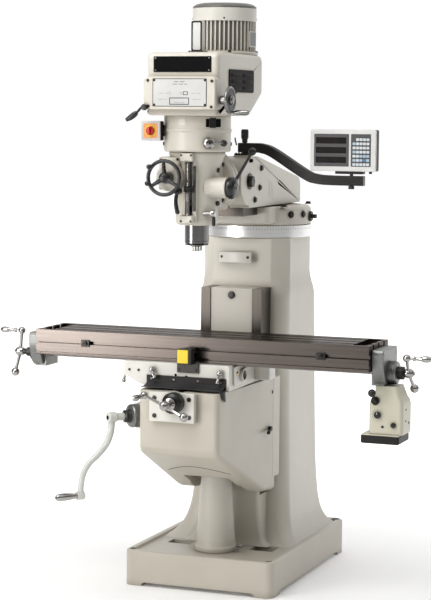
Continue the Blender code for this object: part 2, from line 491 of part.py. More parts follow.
# quill, spindle and drawbar
QL = 1.243
q = turned([(0.0385, QL), (QUILL_R, QL + 0.004), (QUILL_R, 1.405), (0.030, 1.405), (0.030, QL)], (0, SPINDLE_Y, 0), (0, 0, 1), 28, closed=True)
node(q, "quill", CHROME, (0, SPINDLE_Y, QL))
s = turned([(0.0, 1.218), (0.014, 1.218), (0.018, 1.2215), (0.018, 1.233), (0.0285, 1.238), (0.0285, 1.300), (0.0290, 1.300), (0.0290, 1.320), (0.022, 1.320), (0.022, 1.560), (0.0145, 1.560), (0.0145, 1.8350), (0.0, 1.8350)], (0, SPINDLE_Y, 0), (0, 0, 1), 24)
s = cut(s, turned([(0.0075, 1.227), (0.0075, 1.9)], (0, SPINDLE_Y, 0), (0, 0, 1), 12))
node(s, "spindle", STEEL, (0, SPINDLE_Y, 1.25))
d = union(cyl((0, SPINDLE_Y, 1.245), (0, SPINDLE_Y, 1.965), 0.0068, 10), cyl((0, SPINDLE_Y, 1.964), (0, SPINDLE_Y, 1.985), 0.0125, 6))
d = union(d, cyl((0, SPINDLE_Y, 1.900), (0, SPINDLE_Y, 1.965), 0.0105, 12))
node(d, "drawbar", STEEL, (0, SPINDLE_Y, 1.9))

# ================================================================== READOUT
dp = union(box(0.052, 0.108, -0.120, -0.080, 1.5475, 1.5535), cyl((0.085, -0.100, 1.552), (0.085, -0.100, 1.640), 0.0065, 12), cyl((0.085, -0.100, 1.552), (0.085, -0.100, 1.5570), 0.014, 14),
           turned([(0.0120, 1.6040), (0.0135, 1.612), (0.0135, 1.634), (0.0105, 1.640)], (0.085, -0.100, 0), (0, 0, 1), 14))
node(dp, "readout_post", BLACK, (0.085, -0.100, 1.55))
PATH = [(0.066, -0.100, 1.5745), (0.150, -0.110, 1.5745), (0.200, -0.118, 1.559), (0.330, -0.142, 1.4855), (0.375, -0.148, 1.4705), (0.430, -0.150, 1.4665), (0.545, -0.150, 1.466)]


def square_tube(path, h, w):
    pts = [Vector(p) for p in path]
    rings = []
    for i, p in enumerate(pts):
        t = (pts[min(i + 1, len(pts) - 1)] - pts[max(i - 1, 0)]).normalized()
        s = t.cross(Vector((0, 0, 1))).normalized()
        u = s.cross(t)
        rings.append([p + s * w / 2 + u * h / 2, p - s * w / 2 + u * h / 2, p - s * w / 2 - u * h / 2, p + s * w / 2 - u * h / 2])
    return loft(rings)


ar = square_tube(PATH, 0.034, 0.030)
ar = cut(ar, cyl((0.085, -0.100, 1.5), (0.085, -0.100, 1.7), 0.0074, 12), cyl((0.500, -0.150, 1.40), (0.500, -0.150, 1.55), 0.0069, 10))
node(ar, "readout_arm", BLACK, (0.085, -0.100, 1.5745))
DX0, DX1, DZ0, DZ1 = 0.354, 0.592, 1.499, 1.643
ds = box(DX0, DX1, DRO_Y - 0.018, DRO_Y + 0.022, DZ0, DZ1)
ds = union(ds, box(0.445, 0.545, DRO_Y - 0.015, DRO_Y + 0.015, 1.4895, 1.4995), cyl((0.500, -0.150, 1.437), (0.500, -0.150, 1.492), 0.0060, 10), cyl((0.500, -0.150, 1.4370), (0.500, -0.150, 1.4480), 0.011, 10))
node(ds, "readout_display", WHITE, (0.500, -0.150, 1.49))

# ================================================================== KNEE
kside = [(KNEE_Y0, KNEE_TOP), (KNEE_Y0, 0.532), (KNEE_Y0 + 0.014, 0.518), (-0.105, 0.340), (-0.085, 0.3325), (-GAP, 0.3250), (-GAP, KNEE_TOP)]


def knee_ring(y, z0, z1):
    t = (y - KNEE_Y0) / (0 - KNEE_Y0)
    w = KNEE_WF + (KNEE_WR - KNEE_WF) * max(0.0, min(1.0, t)) ** 0.8
    c = 0.012
    return [(w, y, z0 + c), (w, y, z1), (-w, y, z1), (-w, y, z0 + c), (-w + c, y, z0), (w - c, y, z0)]


def under(y):
    pts = kside[1:6]
    for (ya, za), (yb, zb) in zip(pts, pts[1:]):
        if ya <= y <= yb:
            return za + (zb - za) * (y - ya) / max(1e-9, yb - ya)
    return pts[-1][1]


k = loft([knee_ring(y, under(y), KNEE_TOP) for y in (KNEE_Y0, KNEE_Y0 + 0.014, -0.40, -0.25, -0.105, -0.085, -GAP)])
# cheeks reach back alongside the ways and close behind them
for sgn in (-1, 1):
    x0, x1 = sorted((sgn * (WAY_OUT + GAP), sgn * KNEE_WR))
    k = union(k, box(x0, x1, -0.02, 0.055, 0.366, KNEE_TOP))
# boss for the elevating crank, front left
KA = math.radians(40)
KAX = Vector((-math.sin(KA), -math.cos(KA), 0))
KC = Vector((0, SCREW_Y, 0.630))
k = union(k, turned([(0.075, 0.150), (0.070, 0.235), (0.052, 0.300), (0.044, 0.318)], KC, KAX, 24))
# open inside for the screw, pedestal and gears
k = cut(k, prism([(-0.470, 0.675), (-0.470, 0.565), (-0.150, 0.395), (-0.150, 0.25), (-0.022, 0.25), (-0.022, 0.675)], "x", -0.100, 0.100))
k = cut(k, box(-0.085, 0.085, -0.235, -0.060, 0.20, 0.50))
k = cut(k, cyl(KC + KAX * 0.03, KC + KAX * 0.40, 0.0131, 22), cyl(KC + KAX * 0.03, KC + KAX * 0.13, 0.030, 14))
# channel in the top for the cross-feed screw
k = cut(k, box(-0.020, 0.020, -0.60, -0.060, 0.695, 0.80))
k = cut(k, cyl((0, SCREW_Y, 0.60), (0, SCREW_Y, 0.80), 0.0163, 18))
node(k, "knee", PAINT, (0, SCREW_Y, KNEE_TOP))

cb = box(-0.096, 0.070, -0.532, KNEE_Y0 - GAP, 0.640, 0.742)
cb = cut(cb, cyl((0, -0.60, 0.710), (0, -0.45, 0.710), 0.0114, 14))
node(cb, "cross_feed_bracket", PAINT)

es = turned([(0.0, 0.186), (0.0215, 0.186), (0.0220, 0.191), (0.0220, 0.652), (0.0155, 0.652), (0.0155, 0.692), (0.0, 0.692)], (0, SCREW_Y, 0), (0, 0, 1), 18)
es = union(es, turned([(0.022, 0.6525), (0.0425, 0.6525), (0.0425, 0.660), (0.030, 0.670), (0.015, 0.670)], (0, SCREW_Y, 0), (0, 0, 1), 18))
node(es, "elevating_screw", STEEL, (0, SCREW_Y, 0.66))

# elevating crank: shaft with bevel pinion, graduated dial, S-shaped arm
kc = turned([(0.0, 0.046), (0.0125, 0.046), (0.0125, 0.3185), (0.040, 0.3190), (0.040, 0.345), (0.034, 0.352), (0.024, 0.353), (0.024, 0.372), (0.0135, 0.376), (0.0135, 0.405), (0.018, 0.408), (0.018, 0.436), (0.0, 0.437)], KC, KAX, 22)
kc = union(kc, turned([(0.0120, 0.0455), (0.016, 0.0455), (0.0220, 0.062), (0.0220, 0.070), (0.0120, 0.070)], KC, KAX, 16))
hub = KC + KAX * 0.422
arm = [hub, hub + Vector((0, 0, -0.030)) + KAX * 0.001, hub + Vector((0, 0, -0.060)) + KAX * 0.006, hub + Vector((0, 0, -0.095)) + KAX * 0.022, hub + Vector((0, 0, -0.130)) + KAX * 0.055,
       hub + Vector((0, 0, -0.155)) + KAX * 0.085, hub + Vector((0, 0, -0.185)) + KAX * 0.106, hub + Vector((0, 0, -0.225)) + KAX * 0.117, hub + Vector((0, 0, -0.268)) + KAX * 0.120]
kc = union(kc, sweep(arm, lambda t: 0.0125 - 0.0025 * t, 10), cyl(arm[-1] - KAX * 0.014, arm[-1] + KAX * 0.014, 0.0150, 14))
kc = union(kc, cyl(arm[-1], arm[-1] + KAX * 0.098, 0.0045, 10))
node(kc, "knee_crank", WHITE, KC + KAX * 0.40)
kg = turned([(0.0052, 0.0153), (0.0105, 0.0153), (0.0095, 0.022), (0.0135, 0.060), (0.0125, 0.088), (0.0052, 0.092)], arm[-1], KAX, 14, closed=True)
node(kg, "knee_crank_grip", CHROME, arm[-1])

# cross-feed screw, dial and ball crank
CX = Vector((0, -0.532 - GAP, 0.710))
node(cyl((0, -0.5315, 0.710), (0, -0.085, 0.710), 0.0105, 14), "cross_feed_screw", STEEL, (0, -0.5, 0.710))
cc = turned([(0.0, 0), (0.036, 0), (0.036, 0.030), (0.030, 0.040), (0.022, 0.042), (0.022, 0.056), (0.012, 0.060), (0.012, 0.090)], CX, (0, -1, 0), 24)
ca = math.radians(24.5)
cc = union(cc, ball_crank((0, -0.625, 0.710), (0, -1, 0), (-math.cos(ca), 0, math.sin(ca)), 0.080, 1, 0.01))
node(cc, "cross_feed_crank", CHROME, (0, -0.56, 0.710))

# ================================================================== SADDLE
sd = box(SADDLE_X0, SADDLE_X1, SADDLE_Y0, SADDLE_Y1, SADDLE_Z0, SADDLE_Z1 - GAP)
sd = union(sd, box(SADDLE_X0, 0.215, -0.175, -0.110, SADDLE_Z0 + 0.010, SADDLE_Z1 - GAP))
# left end is swept up underneath; ways for the table run across the top
sd = cut(sd, prism([(SADDLE_X0 - 0.01, 0.73), (SADDLE_X0 - 0.01, 0.778), (-0.152, 0.73)], "y", -0.5, 0.0),
         box(-0.3, 0.3, -0.305, -0.260, XSCREW_Z - 0.018, 0.90),
         box(-0.022, 0.022, -0.5, 0.0, 0.70, 0.7475))
for x in (-0.125, 0.128):
    sd = cut(sd, cyl((x, -0.5, 0.806), (x, -0.38, 0.806), 0.0069, 10))
sd = cut(sd, cyl((-0.30, -0.365, 0.800), (-0.20, -0.365, 0.800), 0.0069, 10))
node(sd, "saddle", PAINT, (0, -0.27, SADDLE_Z0))

ww = box(-0.148, 0.148, SADDLE_Y0 - 0.0045, SADDLE_Y0 - GAP, 0.746, 0.786)
node(ww, "way_wiper", BLACK)

st = box(-0.033, 0.048, SADDLE_Y0 - 0.006, SADDLE_Y0 - GAP, 0.800, 0.842)
st = union(st, box(-0.022, 0.030, SADDLE_Y0 - 0.032, SADDLE_Y0 - 0.003, 0.832, 0.886))
st = union(st, box(-0.016, 0.024, SADDLE_Y0 - 0.010, TABLE_Y0 - 0.0015, 0.868, 0.8845))
node(st, "stop_bracket", BLACK)


def lock(pivot, axis, tip, name, r=0.0045, out=0.020):
    p, a, t = Vector(pivot), Vector(axis), Vector(tip)
    o = union(cyl(p - a * 0.022, p + a * out, 0.0060, 10), turned([(0.0095, 0.002), (0.0105, 0.008), (0.0095, out), (0.0, out + 0.003)], p, a, 12))
    o = union(o, sweep([p + a * (out - 0.008), (p + a * (out - 0.008)).lerp(t, 0.6), t], lambda s: r + 0.0012 * s, 8), ball(t, 0.0075, 10, 5))
    return node(o, name, CHROME, pivot)


lock((-0.125, SADDLE_Y0, 0.806), (0, -1, 0), (-0.112, SADDLE_Y0 - 0.020, 0.768 + 0.012), "table_lock_lever_left")
lock((0.128, SADDLE_Y0, 0.806), (0, -1, 0), (0.123, SADDLE_Y0 - 0.020, 0.766 + 0.008), "table_lock_lever_right")
lock((SADDLE_X0, -0.365, 0.800), (-1, 0, 0), (SADDLE_X0 - 0.022, -0.380, 0.752), "saddle_lock_lever")

# ================================================================== TABLE
TX0, TX1, TY1, TB = TABLE_CX - TABLE_L / 2, TABLE_CX + TABLE_L / 2, TABLE_Y0 + TABLE_W, TABLE_TOP - TABLE_T
tb = box(TX0, TX1, TABLE_Y0, TY1, TB, TABLE_TOP)
for i in (-1, 0, 1):
    y = TABLE_CY + i * SLOT_PITCH
    tb = cut(tb, box(TX0 - 0.02, TX1 + 0.02, y - SLOT_W / 2, y + SLOT_W / 2, TABLE_TOP - SLOT_D, TABLE_TOP + 0.02))
    tb = cut(tb, box(TX0 - 0.02, TX1 + 0.02, y - 0.014, y + 0.014, TABLE_TOP - SLOT_D - 0.0005, TABLE_TOP - 0.018))
# coolant troughs across both ends and along the edges
for x in (TX0 + 0.014, TX1 - 0.064):
    tb = cut(tb, box(x, x + 0.050, TABLE_Y0 + 0.016, TY1 - 0.016, TABLE_TOP - 0.014, TABLE_TOP + 0.02))
# stop-dog T-slot and relief along the front
tb = cut(tb, box(TX0 - 0.02, TX1 + 0.02, TABLE_Y0 - 0.02, TABLE_Y0 + 0.010, 0.872, 0.886), box(TX0 - 0.02, TX1 + 0.02, TABLE_Y0 - 0.02, TABLE_Y0 + 0.008, 0.841, 0.850),
         box(TX0 - 0.02, TX1 + 0.02, TABLE_CY - 0.034, TABLE_CY + 0.034, TB - 0.02, TB + 0.026))
node(tb, "table", STEEL, (0, TABLE_CY, TB))


def bracket(x0, x1, s):
    pts = [(-0.362, 0.905), (-0.368, 0.895), (-0.368, 0.850), (-0.345, 0.795), (-0.325, 0.782), (-0.240, 0.782), (-0.220, 0.795), (-0.197, 0.850), (-0.197, 0.895), (-0.203, 0.905)]
    return prism(pts, "x", x0, x1)


XC = (TABLE_CY, XCRANK_Z)
eb = bracket(TX0 - 0.0420, TX0 - GAP, -1)
eb = union(eb, box(TX0 - 0.036, TX0 + 0.010, -0.330, -0.235, 0.780, TB - GAP))
eb = cut(eb, cyl((TX0 - 0.10, TABLE_CY, XCRANK_Z), (TX0 + 0.05, TABLE_CY, XCRANK_Z), 0.0114, 14))
node(eb, "end_bracket_left", CASTGREY)
eb = bracket(TX1 + GAP, TX1 + 0.0420, 1)
eb = union(eb, box(TX1 - 0.010, TX1 + 0.036, -0.330, -0.235, 0.780, TB - GAP))
eb = cut(eb, cyl((TX1 - 0.05, TABLE_CY, XCRANK_Z), (TX1 + 0.10, TABLE_CY, XCRANK_Z), 0.0114, 14))
node(eb, "end_bracket_right", CASTGREY)
node(cyl((TX0 - 0.0415, TABLE_CY, XCRANK_Z), (TX1 + 0.0415, TABLE_CY, XCRANK_Z), 0.0105, 14), "x_leadscrew", STEEL, (TABLE_CX, TABLE_CY, XCRANK_Z))

tl = math.radians(20)
lx = TX0 - 0.0420 - GAP
lc = turned([(0.0, 0), (0.031, 0), (0.031, 0.022), (0.026, 0.030), (0.016, 0.032), (0.016, 0.048), (0.010, 0.050), (0.010, 0.070)], (lx, TABLE_CY, XCRANK_Z), (-1, 0, 0), 22)
lc = union(lc, ball_crank((lx - 0.078, TABLE_CY, XCRANK_Z), (-1, 0, 0), (0, math.sin(tl), math.cos(tl)), 0.078, 1, 0.01))
node(lc, "ball_crank_left", CHROME, (lx, TABLE_CY, XCRANK_Z))
tr = math.radians(42)
rx = TX1 + 0.0420 + GAP
rc = turned([(0.0, 0), (0.040, 0), (0.040, 0.022), (0.036, 0.028), (0.022, 0.029), (0.022, 0.050), (0.010, 0.052), (0.010, 0.056)], (rx, TABLE_CY, XCRANK_Z), (1, 0, 0), 24)
rc = union(rc, ball_crank((rx + 0.066, TABLE_CY, XCRANK_Z), (1, 0, 0), (0, -math.sin(tr), math.cos(tr)), 0.078, 1, 0.01))
node(rc, "ball_crank_right", CHROME, (rx, TABLE_CY, XCRANK_Z))

# power feed hung under the right bracket
pf = box(0.632, 0.752, -0.340, -0.225, 0.6145, 0.740)
pf = cut(pf, prism([(0.735, 0.7405), (0.7525, 0.7405), (0.7525, 0.722)], "y", -0.345, -0.220))
pf = union(pf, prism([(0.640, 0.738), (0.7345, 0.738), (0.725, 0.7797), (0.650, 0.7797)], "y", -0.325, -0.240))
pf = union(pf, box(0.607, 0.742, -0.348, -0.217, 0.583, 0.6150))
pf = cut(pf, cyl((0.655, -0.40, 0.730), (0.655, -0.30, 0.730), 0.0064, 10), cyl((0.664, -0.40, 0.682), (0.664, -0.30, 0.682), 0.0053, 10), cyl((0, TABLE_CY, XCRANK_Z), (1, TABLE_CY, XCRANK_Z), 0.0412, 24))
node(pf, "power_feed_unit", WHITE)
pl = union(cyl((0.655, -0.350, 0.730), (0.655, -0.302, 0.730), 0.0055, 10), sweep([(0.655, -0.346, 0.728), (0.655, -0.356, 0.742), (0.655, -0.374, 0.758)], 0.0045, 8), ball((0.655, -0.380, 0.761), 0.0135, 12, 6))
node(pl, "power_feed_lever", BLACK, (0.655, -0.34, 0.730))
pk = union(cyl((0.664, -0.345, 0.682), (0.664, -0.302, 0.682), 0.0045, 10), turned([(0.012, 0), (0.011, 0.010), (0.0, 0.0105)], (0.664, -0.3405, 0.682), (0, -1, 0), 16))
node(pk, "power_feed_speed_knob", WHITE, (0.664, -0.34, 0.682))
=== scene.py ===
"""Looks for the vertical milling machine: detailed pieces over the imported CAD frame, studio, camera."""
import bpy, bmesh, math, json
from mathutils import Vector, Matrix

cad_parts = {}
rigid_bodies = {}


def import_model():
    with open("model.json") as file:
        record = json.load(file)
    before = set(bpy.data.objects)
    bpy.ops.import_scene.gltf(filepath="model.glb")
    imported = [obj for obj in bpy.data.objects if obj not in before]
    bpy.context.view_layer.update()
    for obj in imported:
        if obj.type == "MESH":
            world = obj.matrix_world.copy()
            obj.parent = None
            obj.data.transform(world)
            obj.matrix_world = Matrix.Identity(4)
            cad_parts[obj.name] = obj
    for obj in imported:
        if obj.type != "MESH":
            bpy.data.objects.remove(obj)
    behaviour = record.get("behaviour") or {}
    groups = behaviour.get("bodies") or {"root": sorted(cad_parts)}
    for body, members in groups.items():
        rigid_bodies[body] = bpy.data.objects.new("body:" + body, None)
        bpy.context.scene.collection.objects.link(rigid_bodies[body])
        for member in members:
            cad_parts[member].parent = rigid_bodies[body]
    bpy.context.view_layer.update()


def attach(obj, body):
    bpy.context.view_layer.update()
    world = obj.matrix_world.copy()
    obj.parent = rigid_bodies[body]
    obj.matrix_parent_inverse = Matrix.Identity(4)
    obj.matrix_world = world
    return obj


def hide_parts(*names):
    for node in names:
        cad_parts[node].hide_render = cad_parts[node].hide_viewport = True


for o in list(bpy.data.objects):
    bpy.data.objects.remove(o, do_unlink=True)
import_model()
COLL = bpy.context.scene.collection
SH = Vector((-0.0190, 0.1005, 0.0))
GAP = 0.0003

BASE_W, BASE_H = 0.567, 0.129
RIM = 0.012
WAY_OUT, WAY_IN, WAY_TOP = 0.118, 0.081, 1.060
COL_CY, COL_R, COL_TOP = 0.284, 0.2075, 1.2400
RING_R, RING_TOP = 0.2015, 1.2850
TURRET_R, TURRET_TOP = 0.1990, 1.3560
SCREW_Y, PED_TOP = -0.133, 0.414
TABLE_L, TABLE_W, TABLE_TOP, TABLE_T = 1.245, 0.229, 0.921, 0.090
TABLE_CX, TABLE_Y0 = 0.025, -0.397
TABLE_CY = TABLE_Y0 + TABLE_W / 2
SLOT_W, SLOT_PITCH, SLOT_D = 0.016, 0.0635, 0.030
XCRANK_Z = 0.822
SADDLE_Z0, SADDLE_Z1 = 0.743, 0.8307
SADDLE_X0, SADDLE_X1, SADDLE_Y0, SADDLE_Y1 = -0.237, 0.159, -0.430, -0.120
KNEE_TOP, KNEE_Y0, KNEE_WF, KNEE_WR = 0.7427, -0.505, 0.146, 0.175
SPINDLE_Y, QUILL_R = -0.3425, 0.04285
PIVOT_Y, PIVOT_Z = -0.115, 1.455
HEAD_Y0, HEAD_Y1, HEAD_W = -0.510, -0.045, 0.267
MOTOR_Y, MOTOR_R, MOTOR_TOP = -0.090, 0.113, 2.085
DRO_Y = -0.150


# ------------------------------------------------------------------ materials
def nodes_of(name):
    m = bpy.data.materials.new(name)
    m.use_nodes = True
    return m, m.node_tree, m.node_tree.nodes["Principled BSDF"]


def add(nt, kind, **kw):
    n = nt.nodes.new(kind)
    for k, v in kw.items():
        if k in n.inputs:
            n.inputs[k].default_value = v
        else:
            setattr(n, k, v)
    return n


def coords(nt, scale=(1, 1, 1)):
    tc = nt.nodes.new("ShaderNodeTexCoord")
    mp = nt.nodes.new("ShaderNodeMapping")
    mp.inputs["Scale"].default_value = scale
    nt.links.new(tc.outputs["Object"], mp.inputs["Vector"])
    return mp.outputs["Vector"]


def ramp(nt, fac, stops):
    r = nt.nodes.new("ShaderNodeValToRGB")
    el = r.color_ramp.elements
    while len(el) < len(stops):
        el.new(0.5)
    for e, (p, c) in zip(el, stops):
        e.position, e.color = p, (*c, 1)
    nt.links.new(fac, r.inputs["Fac"])
    return r.outputs["Color"]


def noise(nt, vec, scale, detail=4, rough=0.55):
    n = nt.nodes.new("ShaderNodeTexNoise")
    n.inputs["Scale"].default_value, n.inputs["Detail"].default_value, n.inputs["Roughness"].default_value = scale, detail, rough
    nt.links.new(vec, n.inputs["Vector"])
    return n.outputs["Fac"]


def bumped(nt, b, h, strength, dist):
    n = nt.nodes.new("ShaderNodeBump")
    n.inputs["Strength"].default_value, n.inputs["Distance"].default_value = strength, dist
    nt.links.new(h, n.inputs["Height"])
    nt.links.new(n.outputs["Normal"], b.inputs["Normal"])


def rough_from(nt, b, h, lo, hi):
    n = nt.nodes.new("ShaderNodeMapRange")
    n.inputs["To Min"].default_value, n.inputs["To Max"].default_value = lo, hi
    nt.links.new(h, n.inputs["Value"])
    nt.links.new(n.outputs["Result"], b.inputs["Roughness"])


def painted_crevice_shade(nt, col, dark, dist=0.030, amount=0.75):
    """Painted shade: darkens a colour by ambient occlusion where the surface is hemmed in, where shade falls in corners
    and recesses.
    """
    ao = nt.nodes.new("ShaderNodeAmbientOcclusion")
    ao.samples = 6
    ao.inputs["Distance"].default_value = dist
    g = nt.nodes.new("ShaderNodeMath"); g.operation = "POWER"; g.inputs[1].default_value = 1.4
    nt.links.new(ao.outputs["AO"], g.inputs[0])
    mr = nt.nodes.new("ShaderNodeMapRange")
    mr.inputs["To Min"].default_value, mr.inputs["To Max"].default_value = amount, 0.0
    nt.links.new(g.outputs[0], mr.inputs["Value"])
    mx = nt.nodes.new("ShaderNodeMix"); mx.data_type = "RGBA"
    nt.links.new(mr.outputs["Result"], mx.inputs["Factor"])
    nt.links.new(col, mx.inputs["A"])
    mx.inputs["B"].default_value = (*dark, 1)
    return mx.outputs["Result"]


def enamel(name, rgb, rough=0.38, peel=0.22):
    """Brushed-and-sprayed machine enamel over filled cast iron: mottled tone, orange peel, painted shade in the
    corners.
    """
    m, nt, b = nodes_of(name)
    v = coords(nt)
    big = noise(nt, v, 3.2, 3)
    lo = tuple(c * 0.93 for c in rgb)
    hi = tuple(min(1, c * 1.04) for c in rgb)
    col = ramp(nt, big, [(0.30, lo), (0.72, hi)])
    # painted shade: the enamel darkens where ambient occlusion finds corners and recesses
    col = painted_crevice_shade(nt, col, (rgb[0] * 0.42, rgb[1] * 0.37, rgb[2] * 0.30))
    nt.links.new(col, b.inputs["Base Color"])
    rough_from(nt, b, noise(nt, v, 18, 4), rough - 0.07, rough + 0.09)
    h1 = noise(nt, v, 330, 2)
    h2 = noise(nt, v, 26, 3)
    mx = nt.nodes.new("ShaderNodeMath"); mx.operation = "MULTIPLY_ADD"
    nt.links.new(h2, mx.inputs[0]); mx.inputs[1].default_value = 2.2
    nt.links.new(h1, mx.inputs[2])
    bumped(nt, b, mx.outputs[0], peel, 0.0006)
    b.inputs["Coat Weight"].default_value = 0.18
    b.inputs["Coat Roughness"].default_value = 0.22
    return m


def metal(name, rgb, rough, grain=(1, 1, 1), scale=40, var=0.12, bump=0.0, dark=None):
    """Bare metal whose tool marks are stretched along grain."""
    m, nt, b = nodes_of(name)
    b.inputs["Metallic"].default_value = 1.0
    v = coords(nt, grain)
    n = noise(nt, v, scale, 6, 0.62)
    lo = dark or tuple(c * (1 - var) for c in rgb)
    hi = tuple(min(1, c * (1 + var * 0.6)) for c in rgb)
    nt.links.new(ramp(nt, n, [(0.28, lo), (0.75, hi)]), b.inputs["Base Color"])
    rough_from(nt, b, n, rough * 0.75, rough * 1.35)
    if bump:
        bumped(nt, b, n, bump, 0.0004)
    return m


def plastic(name, rgb, rough, bump=0.12, scale=420, spec=0.5):
    m, nt, b = nodes_of(name)
    v = coords(nt)
    n = noise(nt, v, 6, 3)
    nt.links.new(ramp(nt, n, [(0.3, tuple(c * 0.9 for c in rgb)), (0.7, tuple(min(1, c * 1.06) for c in rgb))]), b.inputs["Base Color"])
    rough_from(nt, b, noise(nt, v, 30, 3), rough - 0.05, rough + 0.07)
    bumped(nt, b, noise(nt, v, scale, 2), bump, 0.0004)
    b.inputs["Specular IOR Level"].default_value = spec
    return m


M = {
    "enamel": enamel("enamel_offwhite", (0.60, 0.568, 0.50)),
    # painted shade: a darker copy of the off-white enamel for the low castings, base and knee, where less light reaches
    "enamel_shaded_low": enamel("enamel_offwhite_shaded_low", (0.500, 0.465, 0.395)),
    "enamel_lt": enamel("enamel_white", (0.67, 0.655, 0.605), 0.36, 0.16),
    "enamel_cover": enamel("enamel_cover", (0.65, 0.63, 0.58), 0.36, 0.12),
    "cream": enamel("enamel_cream", (0.60, 0.575, 0.46), 0.42, 0.30),
    "crank": enamel("enamel_crank", (0.60, 0.62, 0.58), 0.28, 0.25),
    "grey": enamel("enamel_grey", (0.27, 0.28, 0.27), 0.40, 0.25),
    "capgrey": enamel("fan_cap", (0.115, 0.112, 0.105), 0.40, 0.20),
    # painted shade: dark enamel on the motor core between the fins, standing in for the shade between them
    "finshade": enamel("motor_fin_painted_shade", (0.20, 0.187, 0.168), 0.60, 0.10),
    "way": metal("ground_way", (0.115, 0.102, 0.092), 0.32, (160, 160, 2.5), 1.4, 0.30, 0.10),
    "tabletop": metal("ground_table", (0.155, 0.133, 0.120), 0.24, (2.0, 170, 170), 1.4, 0.22, 0.08),
    "steel": metal("turned_steel", (0.36, 0.35, 0.34), 0.28, (1, 1, 1), 60, 0.15),
    "silver": metal("ground_ring", (0.82, 0.82, 0.81), 0.28, (2, 2, 160), 2.0, 0.10, 0.05),
    "wheelsteel": metal("satin_steel", (0.24, 0.238, 0.235), 0.24, (1, 1, 1), 50, 0.12),
    "quillsteel": metal("ground_quill", (0.19, 0.187, 0.183), 0.16, (60, 60, 1), 20, 0.10),
    "chrome": metal("bright_plate", (0.42, 0.41, 0.40), 0.13, (1, 1, 1), 30, 0.05),
    "dial": metal("satin_dial", (0.050, 0.049, 0.048), 0.32, (1, 1, 1), 90, 0.10),
    "castgrey": metal("bead_blasted_iron", (0.24, 0.245, 0.235), 0.40, (1, 1, 1), 160, 0.16, 0.15),
    "oxide": metal("black_oxide", (0.055, 0.053, 0.05), 0.34, (1, 1, 1), 50, 0.3),
    "brass": metal("fitting_brass", (0.62, 0.45, 0.20), 0.25, (1, 1, 1), 40, 0.15),
    "black": plastic("black_gloss", (0.012, 0.012, 0.013), 0.26, 0.05),
    "blacksat": plastic("black_satin", (0.014, 0.0125, 0.012), 0.44, 0.22, 420, 0.28),
    "rubber": plastic("black_rubber", (0.016, 0.016, 0.017), 0.52, 0.3, 260),
    # painted shade: near-black for holes, slots, floors of openings and sight windows, standing in for the shade inside
    # them
    "hole_shade": plastic("painted_hole_shade", (0.004, 0.004, 0.004), 0.8, 0.05, 100, 0.1),
    "white": plastic("white_plate", (0.55, 0.55, 0.535), 0.40, 0.03),
    "bezel": plastic("bezel_white", (0.66, 0.66, 0.645), 0.40, 0.10),
    "panel": plastic("panel_grey", (0.075, 0.072, 0.075), 0.30, 0.06),
    "window": plastic("display_window", (0.012, 0.010, 0.010), 0.14, 0.02),
    "keywhite": plastic("key_white", (0.62, 0.66, 0.68), 0.42, 0.05),
    "keyblue": plastic("key_blue", (0.10, 0.20, 0.38), 0.42, 0.05),
    "keypale": plastic("key_pale_blue", (0.38, 0.52, 0.62), 0.42, 0.05),
    "red": plastic("knob_red", (0.55, 0.016, 0.012), 0.28, 0.03),
    "orange": plastic("switch_field", (0.80, 0.33, 0.10), 0.42, 0.03),
    "yellow": plastic("stop_yellow", (0.86, 0.62, 0.02), 0.42, 0.08),
    "ink": plastic("engraved_ink", (0.03, 0.03, 0.035), 0.5, 0.02),
    "inkgrey": plastic("print_grey", (0.30, 0.30, 0.32), 0.5, 0.02),
    "plategrey": plastic("rating_plate", (0.20, 0.22, 0.22), 0.4, 0.02),
    "louvre": plastic("louvre_black", (0.011, 0.0092, 0.0082), 0.55, 0.10, 420, 0.10),
    "blackplate": plastic("black_plate", (0.004, 0.004, 0.0045), 0.60, 0.04, 420, 0.05),
    "glass": plastic("sight_glass", (0.35, 0.36, 0.36), 0.10, 0.01),
}


# worn bed: less mirror-like at a flat glance than a clean metal
for n_ in M["tabletop"].node_tree.nodes:
    if n_.type == "BSDF_PRINCIPLED":
        n_.inputs["Specular Tint"].default_value = (0.50, 0.485, 0.47, 1)

# ------------------------------------------------------------------ modelling helpers
def obj_from_bm(bm, name="tmp"):
    bmesh.ops.remove_doubles(bm, verts=bm.verts, dist=1e-7)
    bmesh.ops.recalc_face_normals(bm, faces=bm.faces)
    me = bpy.data.meshes.new(name)
    bm.to_mesh(me)
    bm.free()
    o = bpy.data.objects.new(name, me)
    COLL.objects.link(o)
    return o


def frame_of(axis, up=None):
    z = Vector(axis).normalized()
    u = Vector(up) if up else (Vector((0, 0, 1)) if abs(z.z) < 0.9 else Vector((0, 1, 0)))
    x = u.cross(z).normalized()
    y = z.cross(x)
    return Matrix((x, y, z)).transposed().to_4x4()


def soften(o, w, seg=3, ang=28):
    """Round every hard edge of a piece by w."""
    bm = bmesh.new()
    bm.from_mesh(o.data)
    es = [e for e in bm.edges if len(e.link_faces) == 2 and e.calc_face_angle(0) > math.radians(ang)]
    bmesh.ops.bevel(bm, geom=es, offset=w, segments=seg, affect="EDGES", profile=0.5, clamp_overlap=True)
    bm.to_mesh(o.data)
    bm.free()
    return o


def box(x0, x1, y0, y1, z0, z1, b=0.0, seg=3):
    bm = bmesh.new()
    v = [bm.verts.new((x, y, z)) for x in (x0, x1) for y in (y0, y1) for z in (z0, z1)]
    for f in ((0, 1, 3, 2), (4, 6, 7, 5), (0, 4, 5, 1), (2, 3, 7, 6), (0, 2, 6, 4), (1, 5, 7, 3)):
        bm.faces.new([v[i] for i in f])
    o = obj_from_bm(bm)
    return soften(o, b, seg) if b else o


def loft(sections, cap=True):
    bm = bmesh.new()
    rings = [[bm.verts.new(p) for p in s] for s in sections]
    n = len(rings[0])
    for a, b in zip(rings, rings[1:]):
        for i in range(n):
            j = (i + 1) % n
            bm.faces.new((a[i], a[j], b[j], b[i]))
    if cap:
        bm.faces.new(rings[0])
        bm.faces.new(rings[-1])
    return obj_from_bm(bm)


